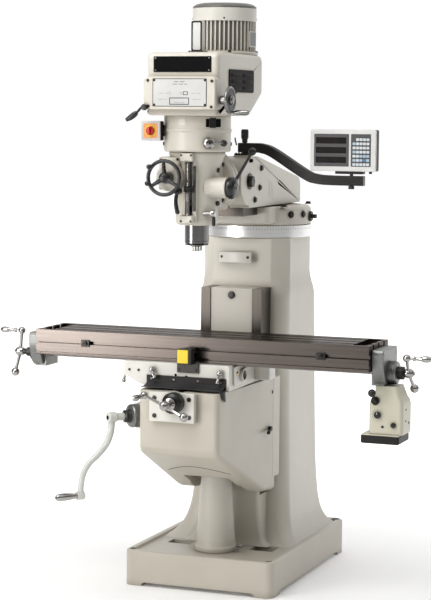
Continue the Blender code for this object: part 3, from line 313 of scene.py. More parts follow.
def prism(pts, axis, a0, a1, b=0.0, seg=3):
    def put(p, a):
        return {"x": (a, p[0], p[1]), "y": (p[0], a, p[1]), "z": (p[0], p[1], a)}[axis]
    o = loft([[put(p, a0) for p in pts], [put(p, a1) for p in pts]])
    return soften(o, b, seg) if b else o


def turned(profile, at=(0, 0, 0), axis=(0, 0, 1), n=48, up=None, closed=False, arc=None):
    bm = bmesh.new()
    T = Matrix.Translation(at) @ frame_of(axis, up)
    rings = []
    for r, h in profile:
        if r < 1e-7:
            rings.append([bm.verts.new(T @ Vector((0, 0, h)))])
        else:
            rings.append([bm.verts.new(T @ Vector((r * math.cos(2 * math.pi * i / n), r * math.sin(2 * math.pi * i / n), h))) for i in range(n)])
    pairs = list(zip(rings, rings[1:])) + ([(rings[-1], rings[0])] if closed else [])
    for a, b in pairs:
        for i in range(n):
            j = (i + 1) % n
            if len(a) == 1 and len(b) == 1:
                continue
            if len(a) == 1:
                bm.faces.new((a[0], b[j], b[i]))
            elif len(b) == 1:
                bm.faces.new((a[i], a[j], b[0]))
            else:
                bm.faces.new((a[i], a[j], b[j], b[i]))
    if not closed:
        if len(rings[0]) > 1:
            bm.faces.new(rings[0])
        if len(rings[-1]) > 1:
            bm.faces.new(rings[-1])
    return obj_from_bm(bm)


def round_profile(prof, r=0.0015, k=3):
    """Round the corners of an open turned profile."""
    out = [prof[0]]
    for p, q, s in zip(prof, prof[1:], prof[2:]):
        a, c, e = Vector(p), Vector(q), Vector(s)
        la, le = (a - c).length, (e - c).length
        d = min(r, la * 0.45, le * 0.45)
        if d < 1e-5 or abs((a - c).normalized().dot((e - c).normalized())) > 0.995:
            out.append(q)
            continue
        A, B = c + (a - c).normalized() * d, c + (e - c).normalized() * d
        for i in range(k + 1):
            t = i / k
            out.append(tuple((1 - t) ** 2 * A + 2 * t * (1 - t) * c + t * t * B))
    out.append(prof[-1])
    return out


def lathe(profile, at=(0, 0, 0), axis=(0, 0, 1), n=48, r=0.0012, closed=False, up=None):
    return turned(round_profile(profile, r), at, axis, n, up, closed)


def cyl(p0, p1, r, n=32, r2=None, b=0.0):
    p0, p1 = Vector(p0), Vector(p1)
    d = p1 - p0
    L = d.length
    r2 = r if r2 is None else r2
    if b:
        return turned([(0, 0), (r - b, 0), (r - b * 0.3, b * 0.3), (r, b), (r2, L - b), (r2 - b * 0.3, L - b * 0.3), (r2 - b, L), (0, L)], p0, d, n)
    return turned([(r, 0), (r2, L)], p0, d, n)


def ball(c, r, n=32, m=18, axis=(0, 0, 1)):
    prof = [(r * math.sin(math.pi * i / m), -r * math.cos(math.pi * i / m)) for i in range(m + 1)]
    prof[0], prof[-1] = (0, -r), (0, r)
    return turned(prof, c, axis, n)


def spline(pts, k=8):
    """Smooth curve through the points."""
    P = [Vector(p) for p in pts]
    P = [P[0] * 2 - P[1]] + P + [P[-1] * 2 - P[-2]]
    out = []
    for i in range(1, len(P) - 2):
        a, b, c, d = P[i - 1:i + 3]
        for j in range(k):
            t = j / k
            out.append(0.5 * ((2 * b) + (c - a) * t + (2 * a - 5 * b + 4 * c - d) * t * t + (3 * b - a - 3 * c + d) * t ** 3))
    out.append(P[-2])
    return out


def sweep(path, radius, n=20, smooth=True, k=8, flat=None):
    pts = spline(path, k) if smooth and len(path) > 2 else [Vector(p) for p in path]
    rings, prev = [], None
    for i, p in enumerate(pts):
        t = (pts[min(i + 1, len(pts) - 1)] - pts[max(i - 1, 0)]).normalized()
        if prev is None:
            a = Vector((0, 0, 1)) if abs(t.z) < 0.9 else Vector((1, 0, 0))
            x = a.cross(t).normalized()
        else:
            x = (prev - t * prev.dot(t)).normalized()
        prev = x
        y = t.cross(x)
        r = radius(i / (len(pts) - 1)) if callable(radius) else radius
        fx = flat if flat else 1.0
        rings.append([p + x * r * math.cos(2 * math.pi * q / n) + y * r * fx * math.sin(2 * math.pi * q / n) for q in range(n)])
    return loft(rings)


def rrect(cx, cy, hx, hy, r, z, k=8):
    pts = []
    for q, (sx, sy) in enumerate(((1, 1), (-1, 1), (-1, -1), (1, -1))):
        for i in range(k + 1):
            a = math.pi / 2 * (q + i / k)
            pts.append((cx + sx * (hx - r) + r * math.cos(a), cy + sy * (hy - r) + r * math.sin(a), z))
    return pts


def round_poly(pts, r, k=5):
    """Round the corners of a closed 2-D polygon."""
    out, n = [], len(pts)
    for i in range(n):
        a, c, e = Vector(pts[i - 1]), Vector(pts[i]), Vector(pts[(i + 1) % n])
        rr = r[i] if isinstance(r, (list, tuple)) else r
        d = min(rr, (a - c).length * 0.48, (e - c).length * 0.48)
        if d < 1e-5:
            out.append(tuple(c))
            continue
        A, B = c + (a - c).normalized() * d, c + (e - c).normalized() * d
        for j in range(k + 1):
            t = j / k
            out.append(tuple((1 - t) ** 2 * A + 2 * t * (1 - t) * c + t * t * B))
    return out


def boolean(a, others, op):
    for b in others:
        m = a.modifiers.new("b", "BOOLEAN")
        m.operation, m.solver, m.object = op, "EXACT", b
        dg = bpy.context.evaluated_depsgraph_get()
        me = bpy.data.meshes.new_from_object(a.evaluated_get(dg))
        a.modifiers.clear()
        old = a.data
        a.data = me
        bpy.data.meshes.remove(old)
        bpy.data.objects.remove(b, do_unlink=True)
    return a


def union(a, *others):
    return boolean(a, others, "UNION")


def cut(a, *others):
    return boolean(a, others, "DIFFERENCE")


def paint(o, key):
    o.data.materials.clear()
    o.data.materials.append(M[key])
    return o


def join(*objs):
    """Several solids kept as one piece, each with its own finish."""
    bm = bmesh.new()
    mats = []
    for o in objs:
        me = o.data
        idx = []
        for m in (me.materials or []):
            if m not in mats:
                mats.append(m)
            idx.append(mats.index(m))
        tmp = bmesh.new()
        tmp.from_mesh(me)
        base = len(bm.verts)
        vs = [bm.verts.new(v.co) for v in tmp.verts]
        for f in tmp.faces:
            try:
                nf = bm.faces.new([vs[v.index] for v in f.verts])
            except ValueError:
                continue
            nf.material_index = idx[f.material_index] if idx else 0
        tmp.free()
    me = bpy.data.meshes.new("joined")
    bm.to_mesh(me)
    bm.free()
    for m in mats:
        me.materials.append(m)
    a = bpy.data.objects.new("joined", me)
    COLL.objects.link(a)
    for o in objs:
        old = o.data
        bpy.data.objects.remove(o, do_unlink=True)
        if old.users == 0:
            bpy.data.meshes.remove(old)
    return a


def piece(o, name, body, key=None, replaces=(), ang=32):
    """Place a finished piece in the row frame, on its body."""
    o.data.transform(Matrix.Translation(SH))
    o.name = name
    o.data.name = name
    if key:
        paint(o, key)
    o.data.shade_smooth()
    o.data.set_sharp_from_angle(angle=math.radians(ang))
    w = o.modifiers.new("wn", "WEIGHTED_NORMAL")
    w.keep_sharp = True
    w.weight = 80
    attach(o, body)
    for r in ([replaces] if isinstance(replaces, str) else replaces):
        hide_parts(r)
    return o


def socket_screw(p, axis, r=0.006, h=0.005, key="oxide"):
    """Cap screw with a hexagon socket."""
    p, a = Vector(p), Vector(axis).normalized()
    o = lathe([(0.0, -0.001), (r, -0.001), (r, h), (0.0, h)], p, a, 24, 0.0006)
    s = cyl(p + a * (h * 0.35), p + a * (h + 0.01), r * 0.52, 6)
    return paint(cut(o, s), key)


def countersunk(p, axis, r=0.006, key="oxide"):
    """Flat screw with a cross recess, standing a hair proud."""
    p, a = Vector(p), Vector(axis).normalized()
    o = lathe([(0.0, -0.001), (r, -0.001), (r, 0.0008), (r * 0.7, 0.0016), (0.0, 0.0018)], p, a, 24, 0.0004)
    T = Matrix.Translation(p) @ frame_of(a)
    for t in (0.3, 0.3 + math.pi / 2):
        b = box(-r * 0.6, r * 0.6, -r * 0.10, r * 0.10, 0.0006, 0.004)
        b.data.transform(T @ Matrix.Rotation(t, 4, "Z"))
        o = cut(o, b)
    return paint(o, key)


def hex_bolt(p, axis, r=0.012, h=0.009, key="oxide", washer=True):
    p, a = Vector(p), Vector(axis).normalized()
    hx = turned([(0, -0.001), (r * 0.98, -0.001), (r, 0.0005), (r, h * 0.82), (r * 0.86, h), (0, h)], p, a, 6)
    out = [paint(soften(hx, r * 0.05, 2), key)]
    if washer:
        out.append(paint(cyl(p - a * 0.001, p + a * 0.0016, r * 1.28, 28, b=0.0003), key))
    return join(*out)


def ticks(at, axis, r, h0, h1, n=50, long_every=5, w=0.0005, key="ink", up=None):
    """Graduation lines round a dial: thin raised strips of ink."""
    T = Matrix.Translation(at) @ frame_of(axis, up)
    objs = []
    bm = bmesh.new()
    for i in range(n):
        a = 2 * math.pi * i / n
        hh = h1 if i % long_every == 0 else h0 + (h1 - h0) * 0.55
        R = Matrix.Rotation(a, 4, "Z")
        vs = []
        for x in (r - 0.0004, r + 0.00012):
            for y in (-w, w):
                for z in (h0, hh):
                    vs.append(bm.verts.new(T @ R @ Vector((x, y, z))))
        for f in ((0, 1, 3, 2), (4, 6, 7, 5), (0, 4, 5, 1), (2, 3, 7, 6), (0, 2, 6, 4), (1, 5, 7, 3)):
            bm.faces.new([vs[k] for k in f])
    return paint(obj_from_bm(bm), key)


def ball_crank(hub, axis, arm, half, key="chrome", grip_len=0.075):
    """Two-ball crank: hub, tapered arm with a ball at each end, turned grip on one."""
    hub, axis, arm = Vector(hub), Vector(axis).normalized(), Vector(arm).normalized()
    a, b = hub + arm * half, hub - arm * half
    off = axis * 0.006
    out = [lathe([(0.0, -0.016), (0.013, -0.016), (0.0165, -0.006), (0.0165, 0.008), (0.011, 0.016), (0.0, 0.018)], hub, axis, 40, 0.004),
           sweep([b + off, hub, a + off], lambda t: 0.0072 - 0.0020 * math.sin(math.pi * (abs(2 * t - 1))), 20),
           ball(a + off, 0.0135), ball(b + off, 0.0155)]
    g0 = a + off + axis * 0.010
    L = grip_len
    out.append(turned([(0.0045, 0), (0.0050, 0.010), (0.0080, 0.0125), (0.0088, 0.016), (0.0080, 0.0195), (0.0056, 0.023), (0.0064, 0.030), (0.0082, 0.45 * L + 0.01), (0.0104, 0.62 * L),
                       (0.0115, 0.76 * L), (0.0112, 0.86 * L), (0.0092, 0.95 * L), (0.0055, L + 0.001), (0.0, L + 0.002)], g0, axis, 32))
    out.append(cyl(hub + axis * 0.015, hub + axis * 0.021, 0.0065, 6))
    for o in out:
        paint(o, key)
    return join(*out)


# ================================================================== COLUMN AND BASE
def pchip(xs, ys, x):
    """Monotone-looking smooth read of a table."""
    if x <= xs[0]:
        return ys[0]
    for i in range(len(xs) - 1):
        if x <= xs[i + 1]:
            h = xs[i + 1] - xs[i]
            t = (x - xs[i]) / h
            def slope(j):
                if j <= 0 or j >= len(xs) - 1:
                    return 0.0 if j <= 0 else (ys[-1] - ys[-2]) / (xs[-1] - xs[-2])
                a = (ys[j] - ys[j - 1]) / (xs[j] - xs[j - 1])
                b = (ys[j + 1] - ys[j]) / (xs[j + 1] - xs[j])
                return 0.0 if a * b <= 0 else 2 * a * b / (a + b)
            m0, m1 = slope(i) * h, slope(i + 1) * h
            return ys[i] * (1 + 2 * t) * (1 - t) ** 2 + m0 * t * (1 - t) ** 2 + ys[i + 1] * t * t * (3 - 2 * t) + m1 * t * t * (t - 1)
    return ys[-1]


def base_piece():
    hx, hy, r = BASE_W / 2, 0.418, 0.030
    secs = []
    for z, d in ((0.0, 0.0), (BASE_H - 0.010, 0.0), (BASE_H - 0.0035, 0.0012), (BASE_H - 0.0008, 0.0045), (BASE_H, 0.009), (BASE_H, 0.020), (BASE_H - 0.002, 0.0245),
                 (BASE_H - 0.008, 0.028), (BASE_H - 0.011, 0.031), (BASE_H - RIM, 0.036)):
        secs.append(rrect(0, 0.101, hx - d, hy - d, max(0.012, r - d * 0.4), z, 8))
    o = loft(secs)
    # feet stay standing at the corners, with arched sides between them
    for pts, ax, a0, a1 in (([(-0.215, -0.01), (-0.215, 0.008), (-0.205, 0.014), (0.205, 0.014), (0.215, 0.008), (0.215, -0.01)], "y", -0.5, 0.7),
                            ([(-0.235, -0.01), (-0.235, 0.008), (-0.225, 0.014), (0.427, 0.014), (0.437, 0.008), (0.437, -0.01)], "x", -0.5, 0.5)):
        o = cut(o, prism(pts, ax, a0, a1))
    o = cut(o, prism(round_poly([(-0.205, -0.100), (-0.115, -0.100), (-0.115, -0.040), (-0.205, -0.040)], 0.006), "z", 0.07, 0.2),
            prism(round_poly([(0.115, -0.100), (0.205, -0.100), (0.205, -0.020), (0.115, -0.020)], 0.006), "z", 0.07, 0.2))
    for x, y in ((-0.256, -0.288), (0.256, -0.288), (-0.256, 0.490), (0.256, 0.490)):
        o = cut(o, cyl((x, y, -0.01), (x, y, 0.16), 0.009, 20), cyl((x, y, 0.119), (x, y, 0.16), 0.0165, 28))
    # clearance for the elevating screw at the lowest knee
    o = cut(o, cyl((0, SCREW_Y, -0.01), (0, SCREW_Y, 0.2), 0.0265, 40))
    # painted shade: the base takes the darker copy of the enamel
    return paint(o, "enamel_shaded_low")


def column_piece():
    T = [(0.1175, 0.281, -0.016, 0.515, 0.03), (0.120, 0.262, 0.000, 0.507, 0.035), (0.128, 0.246, 0.012, 0.500, 0.04), (0.150, 0.225, 0.035, 0.492, 0.045), (0.190, 0.207, 0.062, 0.487, 0.047),
         (0.250, 0.196, 0.082, 0.485, 0.048), (0.400, 0.186, 0.098, 0.484, 0.048), (0.700, 0.180, 0.101, 0.482, 0.050), (1.020, 0.176, 0.101, 0.480, 0.055)]
    zs = [t[0] for t in T]
    grid = [0.1175, 0.1185, 0.120, 0.1225, 0.126, 0.131, 0.138, 0.147, 0.158, 0.172, 0.19, 0.215, 0.25, 0.30, 0.36, 0.45, 0.6, 0.8, 0.95, 1.02]
    secs = []
    for z in grid:
        w, y0, y1, r = (pchip(zs, [t[i] for t in T], z) for i in (1, 2, 3, 4))
        secs.append(rrect(0, (y0 + y1) / 2, w, (y1 - y0) / 2, r, z, 10))
    # square body blends into the round top
    n = len(secs[0])
    top = []
    for z, mixv in ((1.034, 0.06), (1.050, 0.25), (1.068, 0.55), (1.086, 0.82), (1.100, 0.96), (1.112, 1.0), (COL_TOP - 0.004, 1.0)):
        sq = rrect(0, 0.2905, 0.176, 0.1895, 0.060, z, 10)
        ring = []
        for x, y, _ in sq:
            a = math.atan2(y - COL_CY, x)
            cx, cy = COL_R * math.cos(a), COL_CY + COL_R * math.sin(a)
            ring.append((x + (cx - x) * mixv, y + (cy - y) * mixv, z))
        top.append(ring)
    secs += top
    last = [(x * 0.985, COL_CY + (y - COL_CY) * 0.985, COL_TOP - GAP) for x, y, _ in top[-1]]
    secs.append(last)
    return paint(loft(secs), "enamel")


def way_rails():
    out = []
    for s in (-1, 1):
        x0, x1 = sorted((s * WAY_IN, s * WAY_OUT))
        out.append(paint(box(x0, x1, 0.0, 0.012, 0.335, WAY_TOP, 0.0012, 2), "way"))
        a, b = sorted((s * (WAY_IN + 0.0005), s * (WAY_OUT - 0.0006)))
        out.append(paint(box(a, b, 0.0105, 0.16, 0.30, WAY_TOP - 0.0008, 0.001, 2), "way"))
    # painted web between the rails
    out.append(paint(box(-WAY_IN - 0.0005, WAY_IN + 0.0005, 0.0045, 0.12, 0.336, WAY_TOP - 0.0014, 0.001, 2), "enamel"))
    # painted root of the ways, flaring into the base
    T = [(0.118, 0.168, -0.040), (0.128, 0.150, -0.026), (0.150, 0.135, -0.012), (0.190, 0.124, -0.003), (0.250, 0.1175, 0.0006), (0.336, 0.1165, 0.0012)]
    zs = [t[0] for t in T]
    secs = []
    for z in (0.118, 0.121, 0.126, 0.133, 0.142, 0.155, 0.172, 0.195, 0.225, 0.27, 0.336):
        w, y0 = pchip(zs, [t[1] for t in T], z), pchip(zs, [t[2] for t in T], z)
        secs.append(rrect(0, (y0 + 0.17) / 2, w, (0.17 - y0) / 2, 0.016, z, 6))
    out.append(paint(loft(secs), "enamel"))
    return out


col = join(base_piece(), column_piece(), *way_rails())
piece(col, "column_visual", "frame", None, "column_casting", 34)
# oil plug, inspection plate on the round top, small fittings
R0 = COL_R
extras = [paint(lathe([(0.0, -0.004), (0.0135, -0.004), (0.0135, 0.003), (0.0115, 0.005), (0.0, 0.0055)], (0, 0.0035, 1.035), (0, -1, 0), 32, 0.001), "oxide")]


def on_drum(x, z, depth):
    return (x, COL_CY - math.sqrt(R0 ** 2 - x * x) - depth, z)


def drum_plate(x0, x1, z0, z1, t, key, b=0.0015, inset=0.0):
    """Plate bent to the round top of the column."""
    n = 24
    rings = []
    for i in range(n + 1):
        x = x0 + (x1 - x0) * i / n
        y = COL_CY - math.sqrt(R0 ** 2 - x * x)
        rings.append([(x, y - t, z0 + b), (x, y - t, z1 - b), (x, y - t + b, z1), (x, y + 0.004, z1), (x, y + 0.004, z0), (x, y - t + b, z0)])
    return paint(loft(rings), key)


extras.append(drum_plate(-0.083, 0.047, 1.147, 1.187, 0.0035, "enamel_cover"))
for x in (-0.071, 0.035):
    extras.append(countersunk(on_drum(x, 1.168, 0.0035), (x / R0, -math.cos(math.asin(x / R0)), 0), 0.0052))
piece(join(*extras), "column_plate", "frame")
# small oil hole on the right side as a near-black disc, painted shade, and drain fitting in the base tray
dr = join(paint(lathe([(0.0, -0.001), (0.005, -0.001), (0.005, 0.0010), (0.0, 0.0012)], (0.1905, 0.235, 0.275), (1, 0, 0.04), 20, 0.0004), "hole_shade"),
          paint(sweep([(0.088, -0.150, BASE_H - RIM - 0.002), (0.088, -0.150, BASE_H + 0.006), (0.092, -0.153, BASE_H + 0.013), (0.104, -0.158, BASE_H + 0.014)], 0.0055, 16), "steel"),
          paint(cyl((0.104, -0.158, BASE_H + 0.014), (0.112, -0.161, BASE_H + 0.014), 0.0085, 6), "steel"))
piece(dr, "base_drain", "frame")
# near-black floors of the two openings, painted shadow that makes them look deep; foundation bolts
fl = []
for x0, x1, y0, y1 in ((-0.205, -0.115, -0.100, -0.040), (0.115, 0.205, -0.100, -0.020)):
    fl.append(paint(box(x0 - 0.002, x1 + 0.002, y0 - 0.002, y1 + 0.002, 0.060, 0.072, 0.001, 2), "hole_shade"))
for x, y in ((-0.256, -0.288), (0.256, -0.288), (-0.256, 0.490), (0.256, 0.490)):
    fl.append(hex_bolt((x, y, 0.1195), (0, 0, 1), 0.0100, 0.007))
piece(join(*fl), "foundation_bolts", "frame")

ped = lathe([(0.031, BASE_H - RIM + GAP), (0.078, BASE_H - RIM + GAP), (0.078, BASE_H + 0.002), (0.0765, BASE_H + 0.006), (0.0725, BASE_H + 0.010), (0.0705, BASE_H + 0.018), (0.054, PED_TOP - 0.002), (0.031, PED_TOP)],
            (0, SCREW_Y, 0), (0, 0, 1), 72, 0.004, closed=True)
piece(ped, "pedestal_visual", "frame", "enamel", "pedestal_tube")
nut = join(paint(lathe([(0.0228, PED_TOP - 0.045), (0.0296, PED_TOP - 0.045), (0.0296, PED_TOP + GAP), (0.048, PED_TOP + GAP), (0.048, PED_TOP + 0.012), (0.0228, PED_TOP + 0.012)], (0, SCREW_Y, 0), (0, 0, 1), 56, 0.001, closed=True), "brass"))
piece(nut, "elevating_nut_visual", "frame", None, "elevating_nut")

ring = lathe([(0.120, COL_TOP), (RING_R - 0.0012, COL_TOP), (RING_R, COL_TOP + 0.0012), (RING_R, RING_TOP - 0.0015), (RING_R - 0.0012, RING_TOP - GAP), (0.120, RING_TOP - GAP)], (0, COL_CY, 0), (0, 0, 1), 128, 0.0008, closed=True)
piece(join(paint(ring, "silver"), ticks((0, COL_CY, 0), (0, 0, 1), RING_R, RING_TOP - 0.017, RING_TOP - 0.0015, 120, 10, 0.00045)), "column_ring_visual", "frame", None, "column_top_ring")

# ================================================================== TURRET AND RAM
t = turned(round_profile([(0.0, RING_TOP), (TURRET_R, RING_TOP), (TURRET_R, TURRET_TOP - 0.012), (TURRET_R - 0.012, TURRET_TOP), (0.0, TURRET_TOP)], 0.005, 5), (0, COL_CY, 0), (0, 0, 1), 112)
t = cut(t, box(-0.0803, 0.0803, -0.2, 0.8, 1.328, 1.4))
front = prism(round_poly([(-0.125, COL_CY - 0.235), (0.125, COL_CY - 0.235), (0.125, COL_CY), (-0.125, COL_CY)], [0.02, 0.02, 0, 0]), "z", RING_TOP + 0.010, TURRET_TOP, 0.004)
front = cut(front, box(-0.0803, 0.0803, -0.2, 0.8, 1.328, 1.4))
tp = [paint(t, "enamel"), paint(front, "enamel"), paint(cyl((0, COL_CY, COL_TOP + 0.005), (0, COL_CY, RING_TOP + 0.002), 0.119, 48), "enamel")]
# locking bolts standing in milled pockets, black square of the ram shaft boss, dark gap under the ram
for y in (0.175, 0.235):
    x = math.sqrt(TURRET_R ** 2 - (y - COL_CY) ** 2)
    d = Vector((x, y - COL_CY, 0)).normalized()
    for z, rr in ((1.325, 0.0105),):
        p = Vector((x, y, z)) - d * 0.002
        tp.append(paint(cyl(p - d * 0.004, p + d * 0.0035, 0.0175, 32, b=0.0008), "enamel"))
        tp.append(hex_bolt(p + d * 0.0035, d, rr, 0.007))
for ax, ay in ((-0.150, 0.145), (0.150, 0.145), (-0.150, 0.425), (0.150, 0.425)):
    tp.append(hex_bolt((ax, ay, TURRET_TOP), (0, 0, 1), 0.0105, 0.009))
piece(join(*tp), "turret_visual", "turret", None, "turret")
sq = join(paint(cyl((0.125, 0.300, 1.315), (0.202, 0.300, 1.315), 0.0120, 32), "oxide"), paint(cyl((0.199, 0.300, 1.315), (0.208, 0.300, 1.315), 0.019, 40, b=0.0015), "oxide"),
          paint(box(0.206, 0.226, 0.2925, 0.3075, 1.3075, 1.3225, 0.0012), "black"))
piece(sq, "ram_pinion_visual", "ram_pinion", None, "ram_pinion")

side = round_poly([(-0.118, 1.3605), (-0.118, 1.500), (-0.098, 1.535), (-0.045, 1.546), (0.430, 1.456), (0.446, 1.440), (0.448, 1.3605)], [0.002, 0.02, 0.03, 0.04, 0.02, 0.02, 0.002], 6)
r = prism(side, "x", -0.110, 0.110, 0.007, 4)
boss = cyl((-0.110, PIVOT_Y, PIVOT_Z), (0.110, PIVOT_Y, PIVOT_Z), 0.086, 72, b=0.004)
r = cut(union(r, boss), box(-0.0363, 0.0363, -0.25, -0.020, 1.30, 1.62))
foot = box(-0.080, 0.080, -0.100, 0.440, 1.3285, 1.370, 0.0015, 2)
rp = [paint(r, "enamel"), paint(foot, "way"), paint(box(0.050, 0.110, -0.122, -0.078, 1.520, 1.5472, 0.002), "enamel")]
# cover plate cast into the side of the ram: a plain raised panel of small squares
for s in (-1, 1):
    rp.append(paint(prism(round_poly([(0.093, 1.392), (0.149, 1.381), (0.149, 1.446), (0.093, 1.457)], 0.002), "x", s * 0.1095 if s < 0 else 0.1095, s * 0.1105, 0.0), "enamel"))
    for i in range(4):
        for j in range(3):
            y = 0.100 + 0.0165 * j
            z = 1.3985 + 0.0135 * i - 0.0033 * j
            rp.append(paint(prism(round_poly([(y, z), (y + 0.0115, z - 0.0022), (y + 0.0115, z + 0.0070), (y, z + 0.0092)], 0.001), "x", s * 0.110, s * 0.1112), "enamel_cover"))
    for (y, z) in ((-0.010, 1.430), (0.005, 1.500), (-0.060, 1.388)):
        rp.append(hex_bolt((s * 0.110, y, z), (s, 0, 0), 0.0095, 0.008))
piece(join(*rp), "ram_visual", "ram", None, "ram")
pp = join(paint(cyl((-0.118, PIVOT_Y, PIVOT_Z), (0.118, PIVOT_Y, PIVOT_Z), 0.016, 32), "oxide"), hex_bolt((0.1115, PIVOT_Y, PIVOT_Z), (1, 0, 0), 0.0225, 0.0142), hex_bolt((-0.1115, PIVOT_Y, PIVOT_Z), (-1, 0, 0), 0.0225, 0.0142))
piece(pp, "nod_bolt_visual", "ram", None, "nod_pivot_bolt")

FLG = -0.2060
a = lathe([(0.0, 0.0), (0.105, 0), (0.107, 0.003), (0.107, 0.028), (0.0, 0.028)], (0, FLG, PIVOT_Z), (0, -1, 0), 96, 0.0015)
tongue = prism(round_poly([(FLG - 0.010, PIVOT_Z - 0.070), (PIVOT_Y, PIVOT_Z - 0.070), (PIVOT_Y, PIVOT_Z + 0.070), (FLG - 0.010, PIVOT_Z + 0.070)], [0, 0, 0, 0]), "x", -0.036, 0.036)
ap = [paint(a, "enamel"), paint(tongue, "enamel"), paint(cyl((-0.036, PIVOT_Y, PIVOT_Z), (0.036, PIVOT_Y, PIVOT_Z), 0.070, 64, b=0.002), "enamel")]
ap.append(ticks((0, FLG, PIVOT_Z), (0, -1, 0), 0.107, 0.016, 0.0265, 90, 5, 0.0004))
piece(join(*ap), "adapter_visual", "adapter", None, "ram_adapter")

# ================================================================== HEAD
HB, QB = FLG - 0.028 - GAP, 1.309
qh = turned(round_profile([(0.0, QB), (0.066, QB), (0.0715, QB + 0.004), (0.075, QB + 0.014), (0.075, 1.480), (0.080, 1.512), (0.092, 1.540), (0.098, 1.5527), (0.098, 1.5627), (0.0, 1.5627)], 0.008, 5), (0, SPINDLE_Y, 0), (0, 0, 1), 96)
flange = lathe([(0.0, 0), (0.106, 0), (0.106, 0.020), (0.098, 0.029), (0.0, 0.030)], (0, HB, PIVOT_Z), (0, -1, 0), 96, 0.003)
neck = loft([[(x, y, z) for x, z in round_poly([(-w, 1.455 - h), (w, 1.455 - h), (w, 1.455 + h), (-w, 1.455 + h)], 0.018, 6)] for y, w, h in ((HB - 0.010, 0.078, 0.098), (HB - 0.026, 0.068, 0.092), (HB - 0.045, 0.062, 0.090), (HB - 0.075, 0.060, 0.088))])
qboss = lathe([(0, 0), (0.044, 0.0), (0.0375, 0.018), (0.036, 0.030), (0.036, 0.0705), (0.0345, 0.072), (0, 0.072)], (0.05, -0.360, 1.440), (1, 0, 0), 64, 0.0015)
bosses = [box(-0.022, 0.026, -0.452, -0.380, 1.318, 1.345, 0.004), box(-0.022, 0.026, -0.452, -0.380, 1.530, 1.560, 0.005)]
# raised channel frame down the front of the housing
chan = prism(round_poly([(-0.024, 1.320), (0.031, 1.320), (0.031, 1.556), (-0.024, 1.556)], 0.006), "y", -0.428, -0.36, 0.003)
gcase = union(cyl((-0.060, -0.456, 1.475), (-0.060, -0.380, 1.475), 0.048, 64, b=0.003), box(-0.110, -0.030, -0.430, -0.330, 1.430, 1.545, 0.008, 4))
qh = union(qh, flange, neck, qboss, chan, *bosses)
qh = union(qh, gcase)
qh = cut(qh, cyl((0, SPINDLE_Y, 1.20), (0, SPINDLE_Y, 1.41), QUILL_R + 0.0006, 64), cyl((0.004, -0.436, 1.2), (0.004, -0.436, 1.7), 0.0070, 24),
         prism(round_poly([(-0.0095, 1.345), (0.0175, 1.345), (0.0175, 1.530), (-0.0095, 1.530)], 0.0), "y", -0.460, -0.380))
hp = [paint(qh, "enamel")]
hp.append(paint(box(-0.0090, 0.0170, -0.396, -0.386, 1.346, 1.529, 0.0), "steel"))
# swivel lock bolts on the flange, oil cups, screws
for ang_ in (45, 135, 225, 315):
    aa = math.radians(ang_)
    hp.append(hex_bolt((0.088 * math.cos(aa), HB - 0.026, PIVOT_Z + 0.088 * math.sin(aa)), (0, -1, 0), 0.0092, 0.010))
for (x, y, z, rr) in ((0.0745, -0.345, 1.500, 0.0085), (0.0745, -0.345, 1.385, 0.0085)):
    hp.append(paint(lathe([(0.0, -0.006), (rr, -0.006), (rr, 0.008), (rr * 0.85, 0.010), (0.0, 0.0105)], (x, y, z), (1, 0, 0), 32, 0.001), "oxide"))
for (x, z) in ((-0.0155, 1.326), (0.0205, 1.326), (0.0205, 1.552), (-0.0155, 1.552)):
    hp.append(socket_screw((x, -0.452, z), (0, -1, 0), 0.0036, 0.0026))
for (x, y, z) in ((-0.100, -0.430, 1.535), (-0.100, -0.430, 1.440), (-0.038, -0.430, 1.537)):
    hp.append(socket_screw((x, y, z), (0, -1, 0), 0.0045, 0.003))
# graduated strip beside the stop rod
hp.append(paint(box(0.0190, 0.0300, -0.4292, -0.4276, 1.360, 1.515, 0.0003, 1), "dial"))
bm = bmesh.new()
for i in range(26):
    z = 1.363 + 0.006 * i
    L = 0.008 if i % 5 == 0 else 0.0045
    vs = [bm.verts.new((x, y, zz)) for x in (0.0295 - L, 0.0295) for y in (-0.42935, -0.4290) for zz in (z - 0.00035, z + 0.00035)]
    for f in ((0, 1, 3, 2), (4, 6, 7, 5), (0, 4, 5, 1), (2, 3, 7, 6), (0, 2, 6, 4), (1, 5, 7, 3)):
        bm.faces.new([vs[k] for k in f])
hp.append(paint(obj_from_bm(bm), "ink"))
# clamp slots in the quill skirt as near-black boxes, painted shade in place of a cut
for x in (-0.018, 0.000):
    hp.append(paint(box(x - 0.006, x + 0.006, SPINDLE_Y - 0.0785, SPINDLE_Y - 0.0700, 1.352, 1.378, 0.001, 2), "hole_shade"))
piece(join(*hp), "quill_housing_visual", "head", None, "quill_housing")

gh = turned(round_profile([(0.0, 1.563), (0.112, 1.563), (0.116, 1.569), (0.116, 1.630), (0.119, 1.634), (0.119, 1.640), (0.116, 1.644), (0.116, 1.6867), (0.0, 1.6867)], 0.0025, 4), (0, SPINDLE_Y, 0), (0, 0, 1), 112)
gb = box(-0.060, 0.060, SPINDLE_Y, -0.215, 1.575, 1.680, 0.006, 4)
gp = [paint(gh, "enamel"), paint(gb, "enamel")]


def drum(ang_deg, z, rr=0.116, proud=0.0):
    """Point and outward normal on the gear housing; 0 deg faces the operator, 90 deg the right."""
    a = math.radians(ang_deg)
    n = Vector((math.sin(a), -math.cos(a), 0))
    return Vector((0, SPINDLE_Y, z)) + n * (rr + proud), n


# screws round the joint, two sight windows as near-black patches (painted shade of the inside), a plain cast badge
for ang_ in (-62, 72, 112, 150, -120):
    p, n_ = drum(ang_, 1.590)
    gp.append(socket_screw(p - n_ * 0.001, n_, 0.0062, 0.0045))


